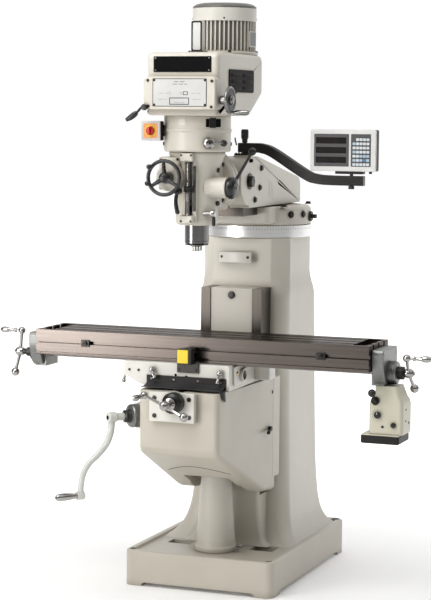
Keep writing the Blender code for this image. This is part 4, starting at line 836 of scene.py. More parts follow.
def drum_patch(a0, a1, z0, z1, t, key, rr=0.116, n=10):
    rings = []
    for i in range(n + 1):
        a = math.radians(a0 + (a1 - a0) * i / n)
        d = Vector((math.sin(a), -math.cos(a), 0))
        c = Vector((0, SPINDLE_Y, 0))
        o_, m_, i_ = c + d * (rr + t), c + d * (rr + t - 0.0008), c + d * (rr - 0.003)
        rings.append([(i_.x, i_.y, z0), (m_.x, m_.y, z0), (o_.x, o_.y, z0 + 0.0008), (o_.x, o_.y, z1 - 0.0008), (m_.x, m_.y, z1), (i_.x, i_.y, z1)])
    return paint(loft(rings), key)


for a0, a1 in ((36, 42), (55, 65)):
    gp.append(drum_patch(a0, a1, 1.648, 1.677, 0.0006, "hole_shade"))
gp.append(drum_patch(42.5, 54.5, 1.646, 1.680, 0.0016, "dial"))
gp.append(drum_patch(-12, 2, 1.654, 1.676, 0.0010, "enamel_cover"))
piece(join(*gp), "gear_housing_visual", "head", None, "gear_housing")

# belt housing: lower front block, set-back upper block with chamfered edges, sloped underside at the back
Z0, Z1, ZT = 1.687, 1.820, 1.9015
ring0 = []
bside = round_poly([(-0.484, Z0), (-0.170, Z0), (-0.045, 1.764), (-0.045, 1.885), (-0.060, ZT), (-0.472, ZT), (-0.484, ZT - 0.014)], [0.004, 0.012, 0.016, 0.010, 0.010, 0.010, 0.008], 5)


def lean(y, z, w):
    """Half width of the shell: straight sides; returns w unchanged."""
    return w


secs = []
for x, d in ((-0.1315, 0.016), (-0.1300, 0.0095), (-0.1265, 0.0045), (-0.1215, 0.0014), (-0.115, 0.0)):
    secs.append((x, d))
secs = secs + [(-x, d) for x, d in reversed(secs)]
cy_, cz_ = -0.27, 1.79


def inset(pts, d):
    """Shrink an outline towards its inside by d."""
    n = len(pts)
    out = []
    for i in range(n):
        p, q, s = Vector(pts[i - 1]), Vector(pts[i]), Vector(pts[(i + 1) % n])
        a = (q - p); b = (s - q)
        na, nb = Vector((-a.y, a.x)), Vector((-b.y, b.x))
        m = na.normalized() + nb.normalized() if a.length > 1e-9 and b.length > 1e-9 else (na if a.length > b.length else nb)
        m.normalize()
        c = Vector((cy_, cz_)) - q
        if m.dot(c) < 0 and abs(m.dot(c)) > 0.02:
            m = -m
        out.append(tuple(q + m * d))
    return out


sh = loft([[(x, y, z) for y, z in inset(bside, d)] for x, d in secs])
fb = loft([rrect(0, (HEAD_Y0 - 0.470) / 2, HEAD_W / 2 - d, (-0.470 - HEAD_Y0) / 2 - d * 0.5, 0.010, z, 6) for z, d in ((1.7075, 0.004), (1.7090, 0.0012), (1.7120, 0.0), (Z1 - 0.014, 0.0), (Z1 - 0.008, 0.0025), (Z1 - 0.003, 0.008), (Z1, 0.016))])
bp = [paint(sh, "enamel"), paint(fb, "enamel")]
# front cover plate standing on the lower block
bp.append(paint(prism(round_poly([(-0.1285, 1.7085), (0.1285, 1.7085), (0.1285, 1.8165), (-0.1285, 1.8165)], 0.009), "y", -0.5110, -0.500, 0.0010, 2), "enamel"))
# neck ring between housing and gear case
bp.append(paint(cyl((0, SPINDLE_Y, 1.6872), (0, SPINDLE_Y, 1.700), 0.112, 80, b=0.0015), "enamel"))
bp.append(paint(lathe([(0.0, 0.0), (0.030, 0.0), (0.030, 0.0012), (0.0, 0.0015)], (0, SPINDLE_Y, ZT - 0.001), (0, 0, 1), 40, 0.0006), "enamel"))
piece(join(*bp), "belt_housing_visual", "head", None, "belt_housing")

# ---- data plate with generic lines, screws
dp = []
FY = -0.5122
X0, X1, ZA, ZB = -0.0975, 0.0995, 1.7175, 1.8115
dp.append(paint(prism(round_poly([(X0, ZA), (X1, ZA), (X1, ZB), (X0, ZB)], 0.003), "y", FY + 0.0016, FY + 0.0002, 0.0), "white"))


def strip(x0, x1, z0, z1, key="ink", y=FY, t=0.00025):
    return paint(box(x0, x1, y + 0.0002 - t, y + 0.0006, z0, z1), key)


def outline(x0, x1, z0, z1, w, key="ink", y=FY):
    return [strip(x0, x1, z1 - w, z1, key, y), strip(x0, x1, z0, z0 + w, key, y), strip(x0, x0 + w, z0 + w, z1 - w, key, y), strip(x1 - w, x1, z0 + w, z1 - w, key, y)]


dp += outline(X0, X1, ZA, ZB, 0.0021)
dp += outline(-0.036, 0.036, 1.7235, 1.7475, 0.0028)
dp += outline(-0.042, -0.031, 1.7580, 1.7665, 0.0013, "inkgrey") + outline(0.014, 0.032, 1.7560, 1.7680, 0.0024, "ink")
for x0, x1, z in ((-0.024, 0.024, 1.8005), (-0.028, 0.028, 1.7925), (-0.078, -0.045, 1.762), (0.040, 0.078, 1.762), (-0.080, -0.046, 1.7415), (0.044, 0.080, 1.7415), (-0.002, 0.012, 1.7645), (-0.002, 0.012, 1.7595), (-0.022, 0.022, 1.7310)):
    n = max(3, int((x1 - x0) / 0.0042))
    for i in range(n):
        a = x0 + (x1 - x0) * i / n
        if (i * 7 + int(z * 1e4 + 0.5)) % 5 == 0:
            continue
        dp.append(strip(a, a + (x1 - x0) / n * 0.80, z - 0.0011, z + 0.0011, "ink" if z > 1.79 else "inkgrey"))
for x in (X0 + 0.006, X1 - 0.006):
    for z in (ZA + 0.0055, ZB - 0.0055):
        dp.append(countersunk((x, FY + 0.0002, z), (0, -1, 0), 0.0044))
for x, z in ((-0.1155, 1.805), (0.1185, 1.803), (-0.1135, 1.7185), (0.1165, 1.7165)):
    dp.append(socket_screw((x, FY + 0.0014, z), (0, -1, 0), 0.0050, 0.0028))
piece(join(*dp), "head_data_plate", "head")

npl = [paint(prism(round_poly([(-0.105, 1.834), (0.105, 1.834), (0.105, 1.887), (-0.105, 1.887)], 0.002), "y", -0.4865, -0.4843, 0.0004, 2), "blackplate")]
for x in (-0.098, 0.098):
    for z in (1.840, 1.881):
        npl.append(countersunk((x, -0.4863, z), (0, -1, 0), 0.0026, "steel"))
piece(join(*npl), "nameplate_visual", "head", None, "nameplate")

# ---- louvred panel
lv = prism(round_poly([(-0.389, 1.768), (-0.147, 1.768), (-0.147, 1.846), (-0.389, 1.846)], 0.010), "x", 0.1300, 0.1350, 0.0008, 2)
lp = [paint(lv, "louvre")]
for i in range(3):
    for j in range(2):
        y0 = -0.374 + 0.114 * j
        z0 = 1.7765 + 0.0222 * i
        n = 14
        secs_ = []
        for k in range(n + 1):
            tt = k / n
            e = math.sin(math.pi * tt) ** 0.35
            y = y0 + 0.098 * tt
            secs_.append([(0.1345, y, z0), (0.1345 + 0.0062 * e + 0.0003, y, z0 + 0.0035), (0.1345 + 0.0060 * e + 0.0003, y, z0 + 0.0060), (0.1345 + 0.0020 * e, y, z0 + 0.0120), (0.1345, y, z0 + 0.0145)])
        lp.append(paint(loft(secs_), "louvre"))
for y in (-0.382, -0.154):
    for z in (1.775, 1.839):
        lp.append(countersunk((0.1346, y, z), (1, 0, 0), 0.0032))
piece(join(*lp), "louvre_visual", "head", None, "louvre_panel")

# ---- motor
mb = lathe([(0.0, ZT + GAP), (0.1195, ZT + GAP), (0.120, ZT + 0.0015), (0.120, ZT + 0.010), (0.104, ZT + 0.016), (0.1035, 2.020), (0.0, 2.020)], (0, MOTOR_Y, 0), (0, 0, 1), 96, 0.003)
mp_ = [paint(mb, "enamel")]
# painted shade: the dark core cylinder between the fins
mp_.append(paint(cyl((0, MOTOR_Y, ZT + 0.0170), (0, MOTOR_Y, 2.0196), 0.1046, 96), "finshade"))
fins = 44
for i in range(fins):
    a0 = 2 * math.pi * (i + 0.5) / fins
    b = prism(round_poly([(-0.0028, 0.095), (0.0028, 0.095), (0.0024, MOTOR_R - 0.001), (-0.0024, MOTOR_R - 0.001)], [0, 0, 0.0006, 0.0006], 2), "z", ZT + 0.014, 2.0198)
    b.data.transform(Matrix.Translation((0, MOTOR_Y, 0)) @ Matrix.Rotation(a0, 4, "Z"))
    mp_.append(paint(b, "enamel_cover"))
# terminal cover on the right with a plain grey rating plate, four flange bolts
tc = box(0.100, MOTOR_R - 0.0002, -0.026, 0.026, 1.930, 1.986, 0.0012, 2)
tp_ = box(MOTOR_R - 0.0004, MOTOR_R + 0.0004, -0.022, 0.022, 1.934, 1.982, 0.0002, 1)
for o_, k_ in ((tc, "enamel"), (tp_, "plategrey")):
    o_.data.transform(Matrix.Translation((0, MOTOR_Y, 0)) @ Matrix.Rotation(math.radians(-5), 4, "Z"))
    mp_.append(paint(o_, k_))
for ang_ in (20, 68, 112, 160, 250, 300):
    a = math.radians(ang_)
    mp_.append(hex_bolt((0.1135 * math.cos(a), MOTOR_Y + 0.1135 * math.sin(a), ZT + 0.0102), (0, 0, 1), 0.0060, 0.006))
piece(join(*mp_), "motor_visual", "head", None, "motor_body")
fc = lathe([(0.1095, 2.0205), (MOTOR_R + 0.001, 2.0205), (MOTOR_R + 0.001, 2.0640), (0.110, 2.0705), (0.0975, 2.0715), (0.0975, 2.066), (0.1095, 2.060)], (0, MOTOR_Y, 0), (0, 0, 1), 112, 0.0018, closed=True)
cap = lathe([(0.0, 2.0700), (0.0990, 2.0700), (0.1125, 2.0668), (0.1140, 2.0690), (0.1130, 2.0730), (0.1020, 2.0805), (0.088, MOTOR_TOP - 0.0006), (0.0, MOTOR_TOP)], (0, MOTOR_Y, 0), (0, 0, 1), 112, 0.0015)
fcp = [paint(fc, "enamel_cover"), paint(cap, "capgrey")]
for ang_ in (-70, 20, 110, 200):
    a = math.radians(ang_)
    d = Vector((math.cos(a), math.sin(a), 0))
    fcp.append(countersunk(Vector((0, MOTOR_Y, 2.030)) + d * (MOTOR_R + 0.0006), d, 0.0032))
piece(join(*fcp), "fan_cover_visual", "head", None, "motor_fan_cover")

# ---- pulleys and belt inside the housing
piece(lathe([(0.0, 1.782), (0.0235, 1.782), (0.0265, 1.7835), (0.0200, 1.794), (0.0265, 1.8045), (0.0235, 1.806), (0.012, 1.806), (0.012, 1.886), (0.0, 1.886)], (0, MOTOR_Y, 0), (0, 0, 1), 56, 0.0006), "motor_pulley_visual", "motor_pulley", "steel", "motor_pulley")
piece(lathe([(0.0153, 1.700), (0.026, 1.700), (0.026, 1.776), (0.083, 1.776), (0.084, 1.777), (0.076, 1.794), (0.084, 1.811), (0.083, 1.812), (0.0153, 1.812)], (0, SPINDLE_Y, 0), (0, 0, 1), 72, 0.0006, closed=True), "spindle_pulley_visual", "spindle_pulley", "steel", "spindle_pulley")


def belt_path(rm, rs):
    d = MOTOR_Y - SPINDLE_Y
    b = math.asin((rs - rm) / d)
    pts = []
    for i in range(17):
        a = -(math.pi / 2 - b) + (math.pi - 2 * b) * i / 16
        pts.append((rm * math.sin(a), MOTOR_Y + rm * math.cos(a)))
    for i in range(33):
        a = (math.pi / 2 - b) + (math.pi + 2 * b) * i / 32
        pts.append((rs * math.sin(a), SPINDLE_Y + rs * math.cos(a)))
    return pts


bm = bmesh.new()
prof = [(0.0268, 0.0858, 1.7890), (0.0268, 0.0858, 1.7990), (0.0234, 0.0816, 1.7978), (0.0234, 0.0816, 1.7902)]
rings = [[bm.verts.new((x, y, z)) for x, y in belt_path(a, b)] for a, b, z in prof]
for a, b in zip(rings, rings[1:] + rings[:1]):
    for i in range(len(a)):
        j = (i + 1) % len(a)
        bm.faces.new((a[i], a[j], b[j], b[i]))
piece(obj_from_bm(bm), "belt_visual", "head", "rubber", "drive_belt")

# ---- drawbar guard: bent strap with a glazed front, foot plate
outer = round_poly([(-0.0195, ZT + GAP), (0.0195, ZT + GAP), (0.0195, 2.012), (-0.0195, 2.012)], [0, 0, 0.007, 0.007], 5)
inner = round_poly([(-0.0165, ZT - 0.01), (0.0165, ZT - 0.01), (0.0165, 2.0090), (-0.0165, 2.0090)], [0, 0, 0.005, 0.005], 5)
gd = cut(prism(outer, "y", SPINDLE_Y - 0.0135, SPINDLE_Y + 0.0145), prism(inner, "y", -0.5, -0.2))
fp = cut(box(-0.028, 0.028, SPINDLE_Y - 0.026, SPINDLE_Y + 0.026, ZT + GAP, ZT + 0.006, 0.0015), cyl((0, SPINDLE_Y, 1.8), (0, SPINDLE_Y, 1.95), 0.0150, 40))
rin = round_poly([(-0.0142, ZT + 0.0115), (0.0142, ZT + 0.0115), (0.0142, 2.0062), (-0.0142, 2.0062)], 0.004)
rim = cut(prism(outer, "y", SPINDLE_Y - 0.0155, SPINDLE_Y - 0.0130), prism(rin, "y", -0.5, -0.2))
rim2 = cut(prism(outer, "y", SPINDLE_Y + 0.0140, SPINDLE_Y + 0.0155), prism(rin, "y", -0.5, -0.2))
gl = prism(round_poly([(-0.0170, ZT + 0.006), (0.0170, ZT + 0.006), (0.0170, 2.0095), (-0.0170, 2.0095)], 0.004), "y", SPINDLE_Y - 0.0146, SPINDLE_Y - 0.0132)
dgp = [paint(gd, "enamel_cover"), paint(fp, "oxide"), paint(rim, "blacksat"), paint(rim2, "blacksat"), paint(gl, "bezel")]
for x, y in ((-0.023, -0.021), (0.023, -0.021), (-0.023, 0.021), (0.023, 0.021)):
    dgp.append(socket_screw((x, SPINDLE_Y + y, ZT + 0.0058), (0, 0, 1), 0.0034, 0.0028))
piece(join(*dgp), "drawbar_guard_visual", "head", None, "drawbar_guard")

# ---- switch
sb = box(-0.1625, -0.0945, -0.449, -0.4155, 1.6005, 1.6675, 0.004)
arm_ = box(-0.135, -0.1003, -0.4170, -0.395, 1.615, 1.655, 0.003)
fpz = prism(round_poly([(-0.163, 1.6), (-0.094, 1.6), (-0.094, 1.668), (-0.163, 1.668)], 0.003), "y", -0.456, -0.447, 0.0010, 2)
sp_ = [paint(sb, "blacksat"), paint(arm_, "blacksat"), paint(fpz, "white"),
       paint(prism(round_poly([(-0.155, 1.609), (-0.102, 1.609), (-0.102, 1.659), (-0.155, 1.659)], 0.003), "y", -0.4564, -0.4550, 0.0), "orange"),
       paint(cyl((-0.1285, -0.4572, 1.634), (-0.1285, -0.455, 1.634), 0.0205, 48, b=0.0003), "yellow")]
piece(join(*sp_), "switch_visual", "head", None, "switch_box")
kn = lathe([(0.0, -0.001), (0.0155, -0.001), (0.0155, 0.0055), (0.0135, 0.0095), (0.0, 0.0100)], (-0.1285, -0.4573, 1.634), (0, -1, 0), 56, 0.0015)
fn = prism(round_poly([(-0.1285 - 0.0052, 1.634 - 0.0135), (-0.1285 + 0.0052, 1.634 - 0.0135), (-0.1285 + 0.0038, 1.634 + 0.0135), (-0.1285 - 0.0038, 1.634 + 0.0135)], 0.0025), "y", -0.4755, -0.464, 0.0015)
piece(join(paint(kn, "red"), paint(fn, "red")), "switch_knob_visual", "switch_knob", None, "switch_knob")

# ---- brake lever
bl = [paint(cyl((-0.1255, -0.523, 1.7145), (-0.1255, -0.5116, 1.7145), 0.011, 40, b=0.002), "oxide"),
      paint(sweep([(-0.1255, -0.518, 1.7145), (-0.136, -0.519, 1.7125), (-0.147, -0.520, 1.7010), (-0.156, -0.521, 1.692)], 0.0043, 16), "oxide"),
      paint(sweep([(-0.152, -0.5205, 1.6958), (-0.162, -0.521, 1.688), (-0.176, -0.522, 1.678), (-0.190, -0.5235, 1.670)], lambda s: 0.0052 + 0.0048 * math.sin(math.pi * min(1, 0.15 + 0.80 * s)), 24), "black"),
      paint(cyl((-0.1255, -0.516, 1.7145), (-0.1255, -0.495, 1.7145), 0.0052, 20), "steel")]
piece(join(*bl), "brake_lever_visual", "brake_lever", None, "brake_lever")

# ---- speed-change handwheel
HW = Vector((0.170, -0.474, 1.740))
hwp = [turned([(0.0430 + 0.0042 * math.cos(a), 0.0052 * math.sin(a)) for a in [2 * math.pi * k / 16 for k in range(16)]], HW, (1, 0, 0), 72, None, True),
       lathe([(0.0, -0.002), (0.041, -0.0005), (0.041, 0.0020), (0.017, 0.0035), (0.0, 0.0035)], HW, (1, 0, 0), 64, 0.001),
       lathe([(0.0, -0.052), (0.0080, -0.052), (0.0080, -0.0366), (0.0145, -0.034), (0.0165, -0.010), (0.0165, 0.008), (0.011, 0.013), (0.0, 0.013)], HW, (1, 0, 0), 48, 0.002)]
hwp = [paint(o, "dial" if i == 1 else "wheelsteel") for i, o in enumerate(hwp)]
g = HW + Vector((0.003, 0.012, -0.041))
hwp.append(paint(lathe([(0.0, 0), (0.0045, 0), (0.0045, 0.010), (0.0072, 0.012), (0.0082, 0.022), (0.0086, 0.040), (0.0078, 0.059), (0.0, 0.0615)], g, (1, 0, 0), 32, 0.002), "wheelsteel"))
piece(join(*hwp), "speed_wheel_visual", "speed_handwheel", None, "speed_handwheel")

# ---- hi / lo lever
RC_, RN_ = Vector((0, SPINDLE_Y, 1.594)), Vector((math.sin(math.radians(40)), -math.cos(math.radians(40)), 0))
RT_ = Vector((-RN_.y, RN_.x, 0))
hl = [paint(cyl(RC_ + RN_ * 0.090, RC_ + RN_ * 0.119, 0.0080, 28), "steel"),
      paint(lathe([(0.0, 0), (0.0205, 0), (0.0205, 0.004), (0.0185, 0.0125), (0.013, 0.018), (0.0, 0.019)], RC_ + RN_ * 0.1175, RN_, 48, 0.002), "chrome"),
      paint(sweep([RC_ + RN_ * 0.128, RC_ + RN_ * 0.130 + RT_ * 0.025, RC_ + RN_ * 0.1315 + RT_ * 0.045], 0.0052, 18), "steel"), paint(ball(RC_ + RN_ * 0.132 + RT_ * 0.052, 0.0118), "black")]
for k in range(4):
    a = math.radians(45 + 90 * k)
    hl.append(paint(ball(RC_ + RN_ * 0.1310 + RT_ * (0.0120 * math.cos(a)) + Vector((0, 0, 0.0120 * math.sin(a))), 0.0026, 12, 8), "oxide"))
hl.append(paint(cyl(RC_ + RN_ * 0.1335, RC_ + RN_ * 0.1372, 0.0042, 20, b=0.0006), "oxide"))
piece(join(*hl), "hi_lo_visual", "hi_lo_lever", None, "hi_lo_lever")

# ---- fine-feed handwheel
FH = Vector((-0.060, -0.498, 1.475))
fw = [turned([(0.058 + 0.0065 * math.cos(a), 0.0065 * math.sin(a)) for a in [2 * math.pi * k / 18 for k in range(18)]], FH, (0, -1, 0), 80, None, True)]
for k in range(3):
    a = math.radians(92 + 120 * k)
    d = Vector((math.cos(a), 0, math.sin(a)))
    fw.append(sweep([FH + d * 0.008 + Vector((0, 0.004, 0)), FH + d * 0.030 + Vector((0, 0.002, 0)), FH + d * 0.057], lambda s: 0.0090 - 0.0035 * s, 20))
fw.append(lathe([(0.0, -0.110), (0.0100, -0.110), (0.0100, -0.0415), (0.020, -0.0400), (0.020, -0.010), (0.0175, 0.004), (0.011, 0.010), (0.0, 0.011)], FH, (0, -1, 0), 48, 0.002))
for o in fw:
    paint(o, "black")
for a, L in ((140, 0.030), (200, 0.020)):
    a = math.radians(a)
    p = FH + Vector((math.cos(a), 0, math.sin(a))) * 0.058
    fw.append(paint(lathe([(0.0, 0), (0.0040, 0), (0.0038, 0.010), (0.0080, 0.013), (0.0088, 0.017), (0.0085, L), (0.0, L + 0.006)], p, (0, -1, 0), 28, 0.002), "black"))
fw.append(paint(hex_bolt(FH - Vector((0, 0.0105, 0)), (0, -1, 0), 0.0062, 0.004, "black"), "black"))
piece(join(*fw), "fine_feed_visual", "fine_feed_handwheel", None, "fine_feed_handwheel")

# ---- quill feed lever
QF = Vector((0.122, -0.360, 1.440))
e = Vector((0.157, -0.216, 1.563))
s0 = QF + Vector((0.014, 0.010, 0.009))
ql = [lathe([(0.0, -0.078), (0.0120, -0.078), (0.0120, 0.002), (0.0365, 0.003), (0.0385, 0.007), (0.0385, 0.017), (0.034, 0.026), (0.022, 0.031), (0.0, 0.033)], QF, (1, 0, 0), 64, 0.004),
      sweep([s0, s0.lerp(e, 0.5), e], lambda s: 0.0062 - 0.0012 * s, 18), ball(e, 0.0140)]
for k, o in enumerate(ql):
    paint(o, "black")
ql.append(paint(ball(QF + Vector((0.0335, 0, 0)), 0.0045, 16, 10), "steel"))
for k in range(3):
    a = math.radians(30 + 120 * k)
    ql.append(paint(ball(QF + Vector((0.029, 0.0205 * math.cos(a), 0.0205 * math.sin(a))), 0.0030, 12, 8), "steel"))
piece(join(*ql), "quill_feed_visual", "quill_feed_lever", None, "quill_feed_lever")

# ---- small levers, stop rod, micrometer nut
FT = Vector((-0.020, -0.4700, 1.430))
ft = [cyl(FT + Vector((0, 0.012, 0)), FT - Vector((0, 0.012, 0)), 0.012, 36, b=0.002), sweep([FT, FT + Vector((-0.006, -0.003, -0.030)), FT + Vector((-0.003, -0.005, -0.056)), FT + Vector((0.002, -0.006, -0.074))], lambda s: 0.0060 + 0.0022 * s, 20),
      ball(FT + Vector((0.002, -0.006, -0.072)), 0.0078, 20, 12), cyl(FT + Vector((0, 0.028, 0)), FT, 0.0050, 18)]
piece(join(*[paint(o, "black") for o in ft]), "feed_trip_visual", "feed_trip_lever", None, "feed_trip_lever")
ll = [paint(cyl((0.045, -0.400, 1.352), (0.078, -0.400, 1.352), 0.0060, 20), "steel"), paint(lathe([(0.0, 0), (0.0138, 0), (0.0138, 0.010), (0.011, 0.0135), (0.0, 0.014)], (0.0775, -0.400, 1.352), (1, 0, 0), 40, 0.0015), "chrome"),
      paint(sweep([(0.084, -0.400, 1.352), (0.0865, -0.4025, 1.336), (0.088, -0.4068, 1.315)], lambda s: 0.0042 + 0.0026 * s, 18), "oxide"), paint(ball((0.088, -0.4068, 1.3155), 0.0066, 18, 10), "oxide")]
piece(join(*ll), "quill_lock_visual", "quill_lock_lever", None, "quill_lock_lever")
# threaded rod: fine rings
prof = [(0.0, 1.319)]
z = 1.3192
while z < 1.5555:
    prof += [(0.0065, z), (0.0065, z + 0.0008), (0.0057, z + 0.0013)]
    z += 0.0018
prof += [(0.0, 1.556)]
piece(turned(prof, (0.004, -0.436, 0), (0, 0, 1), 24), "stop_rod_visual", "head", "chrome", "depth_stop_rod")
dn = lathe([(0.0072, 1.425), (0.0138, 1.425), (0.0150, 1.4275), (0.0150, 1.4335), (0.0138, 1.4350), (0.0150, 1.4365), (0.0150, 1.4445), (0.0138, 1.447), (0.0072, 1.447)], (0.004, -0.436, 0), (0, 0, 1), 48, 0.0006, closed=True)
piece(join(paint(dn, "oxide"), ticks((0.004, -0.436, 0), (0, 0, 1), 0.0150, 1.437, 1.444, 25, 5, 0.0002, "steel")), "stop_nut_visual", "depth_stop_nut", None, "depth_stop_nut")

# ---- quill and spindle nose
QL = 1.243
piece(lathe([(0.030, QL), (0.0400, QL), (QUILL_R, QL + 0.003), (QUILL_R, QL + 0.0100), (0.0420, QL + 0.0106), (0.0420, QL + 0.0120), (QUILL_R, QL + 0.0126), (QUILL_R, 1.405), (0.030, 1.405)], (0, SPINDLE_Y, 0), (0, 0, 1), 80, 0.0006, closed=True), "quill_visual", "quill", "quillsteel", "quill")
nose = lathe([(0.0, 1.218), (0.0155, 1.218), (0.0180, 1.2205), (0.0180, 1.2330), (0.0285, 1.2375), (0.0285, 1.300), (0.0290, 1.300), (0.0290, 1.320), (0.022, 1.320), (0.022, 1.560), (0.0145, 1.560), (0.0145, 1.8350), (0.0, 1.8350)], (0, SPINDLE_Y, 0), (0, 0, 1), 56, 0.0008)
nose = cut(nose, cyl((0, SPINDLE_Y, 1.20), (0, SPINDLE_Y, 1.240), 0.0125, 32))
npz = [paint(nose, "steel")]
for k in range(12):
    a = 2 * math.pi * k / 12
    d = Vector((math.cos(a), math.sin(a), 0))
    npz.append(paint(cyl(Vector((0, SPINDLE_Y, 1.2185)) + d * 0.0172, Vector((0, SPINDLE_Y, 1.2365)) + d * 0.0172, 0.0026, 12, b=0.0006), "chrome"))
npz.append(paint(cyl((0, SPINDLE_Y, 1.2392), (0, SPINDLE_Y, 1.2425), 0.0405, 72, b=0.0006), "oxide"))
piece(join(*npz), "spindle_visual", "spindle", None, "spindle")
d = [paint(cyl((0, SPINDLE_Y, 1.245), (0, SPINDLE_Y, 1.965), 0.0068, 28), "steel"), paint(soften(cyl((0, SPINDLE_Y, 1.964), (0, SPINDLE_Y, 1.985), 0.0125, 6), 0.0010, 2), "steel"), paint(cyl((0, SPINDLE_Y, 1.900), (0, SPINDLE_Y, 1.965), 0.0105, 32, b=0.001), "steel")]
piece(join(*d), "drawbar_visual", "spindle", None, "drawbar")

# ================================================================== READOUT
post = [paint(box(0.052, 0.108, -0.120, -0.080, 1.5475, 1.5535, 0.0012, 2), "oxide"), paint(cyl((0.085, -0.100, 1.552), (0.085, -0.100, 1.636), 0.0065, 24), "oxide"),
        paint(cyl((0.085, -0.100, 1.552), (0.085, -0.100, 1.5570), 0.014, 36, b=0.0008), "oxide"),
        paint(lathe([(0.0, 1.5925), (0.0100, 1.5925), (0.0100, 1.604), (0.0120, 1.6045), (0.0120, 1.6090), (0.0135, 1.6100), (0.0135, 1.634), (0.0115, 1.640), (0.0, 1.640)], (0.085, -0.100, 0), (0, 0, 1), 36, 0.0015), "black")]
for x, y in ((0.058, -0.114), (0.102, -0.114), (0.058, -0.086), (0.102, -0.086)):
    post.append(socket_screw((x, y, 1.5533), (0, 0, 1), 0.0038, 0.003))
piece(join(*post), "readout_post_visual", "ram", None, "readout_post")
PATH = [(0.066, -0.100, 1.5745), (0.150, -0.110, 1.5745), (0.200, -0.118, 1.559), (0.330, -0.142, 1.4855), (0.375, -0.148, 1.4705), (0.430, -0.150, 1.4665), (0.545, -0.150, 1.466)]
dense = [Vector(PATH[0])] + [Vector(PATH[0]).lerp(Vector(PATH[1]), 0.5)]
dense += spline(PATH[1:], 10)


def tube4(path, h, w, r=0.004, k=4):
    rings = []
    for i, p in enumerate(path):
        t = (path[min(i + 1, len(path) - 1)] - path[max(i - 1, 0)]).normalized()
        s = t.cross(Vector((0, 0, 1))).normalized()
        u = s.cross(t)
        rings.append([p + s * a + u * b for a, b, _ in rrect(0, 0, w / 2, h / 2, r, 0, k)])
    return loft(rings)


ar = [paint(tube4(dense, 0.034, 0.030), "blacksat")]
for p in (dense[0], dense[-1]):
    ar.append(paint(box(p.x - 0.0012, p.x + 0.0012, p.y - 0.0135, p.y + 0.0135, p.z - 0.0155, p.z + 0.0155, 0.001, 2), "black"))
# small clamping lever on the back of the tube
ar.append(paint(sweep([(0.060, -0.1165, 1.583), (0.056, -0.118, 1.600), (0.055, -0.119, 1.610)], 0.0026, 12), "oxide"))
piece(join(*ar), "readout_arm_visual", "readout_arm", None, "readout_arm")

DX0, DX1, DZ0, DZ1 = 0.354, 0.592, 1.499, 1.643
DF, DB = DRO_Y - 0.018, DRO_Y + 0.022
case = prism(round_poly([(DX0, DZ0), (DX1, DZ0), (DX1, DZ1), (DX0, DZ1)], 0.007), "y", DF + 0.008, DB, 0.003)
bez = prism(round_poly([(DX0, DZ0), (DX1, DZ0), (DX1, DZ1), (DX0, DZ1)], 0.006), "y", DF + 0.0006, DF + 0.0105, 0.0022)
wx0, wx1, wz0, wz1 = DX0 + 0.0140, DX0 + 0.1410, DZ0 + 0.0165, DZ1 - 0.0150
kx0, kx1 = DX0 + 0.1480, DX0 + 0.2200
dd = [paint(case, "blacksat"), paint(bez, "bezel")]
dd.append(paint(prism(round_poly([(wx0, wz0), (wx1, wz0), (wx1, wz1), (wx0, wz1)], 0.003), "y", DF, DF + 0.0020, 0.0003, 1), "panel"))
dd.append(paint(prism(round_poly([(kx0, wz0), (kx1, wz0), (kx1, wz1), (kx0, wz1)], 0.003), "y", DF, DF + 0.0020, 0.0003, 1), "panel"))
for i in range(3):
    z1 = wz1 - 0.0120 - 0.0335 * i
    dd.append(paint(prism(round_poly([(wx0 + 0.007, z1 - 0.0215), (wx1 - 0.010, z1 - 0.0215), (wx1 - 0.010, z1), (wx0 + 0.007, z1)], 0.0015), "y", DF - 0.0006, DF + 0.001, 0.0002, 1), "window"))
for r_ in range(7):
    for c_ in range(5):
        kw, kh = 0.0105, 0.0112
        x = kx0 + 0.0065 + c_ * 0.0124
        z = wz1 - 0.0145 - r_ * 0.0143
        if c_ == 0 and r_ in (0,):
            continue
        key = "keywhite"
        if r_ == 5 and c_ == 3:
            key = "keyblue"
        elif r_ in (4, 5) and c_ in (2, 3, 4):
            key = "keypale"
        elif c_ == 0:
            key = "keypale" if r_ % 2 else "keywhite"
        dd.append(paint(prism(round_poly([(x, z - kh + 0.0022), (x + kw, z - kh + 0.0022), (x + kw, z), (x, z)], 0.0014, 2), "y", DF - 0.0012, DF + 0.001, 0.0004, 1), key))
dd.append(paint(prism(round_poly([(0.445, 1.4895), (0.545, 1.4895), (0.545, 1.4995), (0.445, 1.4995)], 0.002), "y", DRO_Y - 0.015, DRO_Y + 0.015, 0.001, 2), "blacksat"))
dd.append(paint(cyl((0.500, -0.150, 1.437), (0.500, -0.150, 1.492), 0.0060, 24), "oxide"))
dd.append(paint(soften(cyl((0.500, -0.150, 1.4370), (0.500, -0.150, 1.4480), 0.011, 6), 0.0006, 2), "oxide"))
dd.append(paint(cyl((DX1 - 0.022, DRO_Y - 0.004, DZ0 - 0.008), (DX1 - 0.022, DRO_Y - 0.004, DZ0 + 0.002), 0.0055, 24, b=0.0008), "blacksat"))
# back: vents as near-black strips, painted shade in the slots, and connectors
for i in range(7):
    dd.append(paint(box(DX0 + 0.040, DX0 + 0.150, DB - 0.0008, DB + 0.0002, DZ0 + 0.060 + 0.009 * i, DZ0 + 0.063 + 0.009 * i, 0.0), "hole_shade"))
for x in (0.470, 0.505, 0.540):
    dd.append(paint(cyl((x, DB - 0.0046, DZ0 + 0.028), (x, DB - 0.0002, DZ0 + 0.028), 0.0085, 28, b=0.0008), "dial"))
piece(join(*dd), "readout_visual", "readout_display", None, "readout_display")

# ================================================================== KNEE
kpts = [(KNEE_Y0, 0.532), (KNEE_Y0 + 0.014, 0.518), (-0.105, 0.340), (-0.085, 0.3325), (-GAP, 0.3250)]


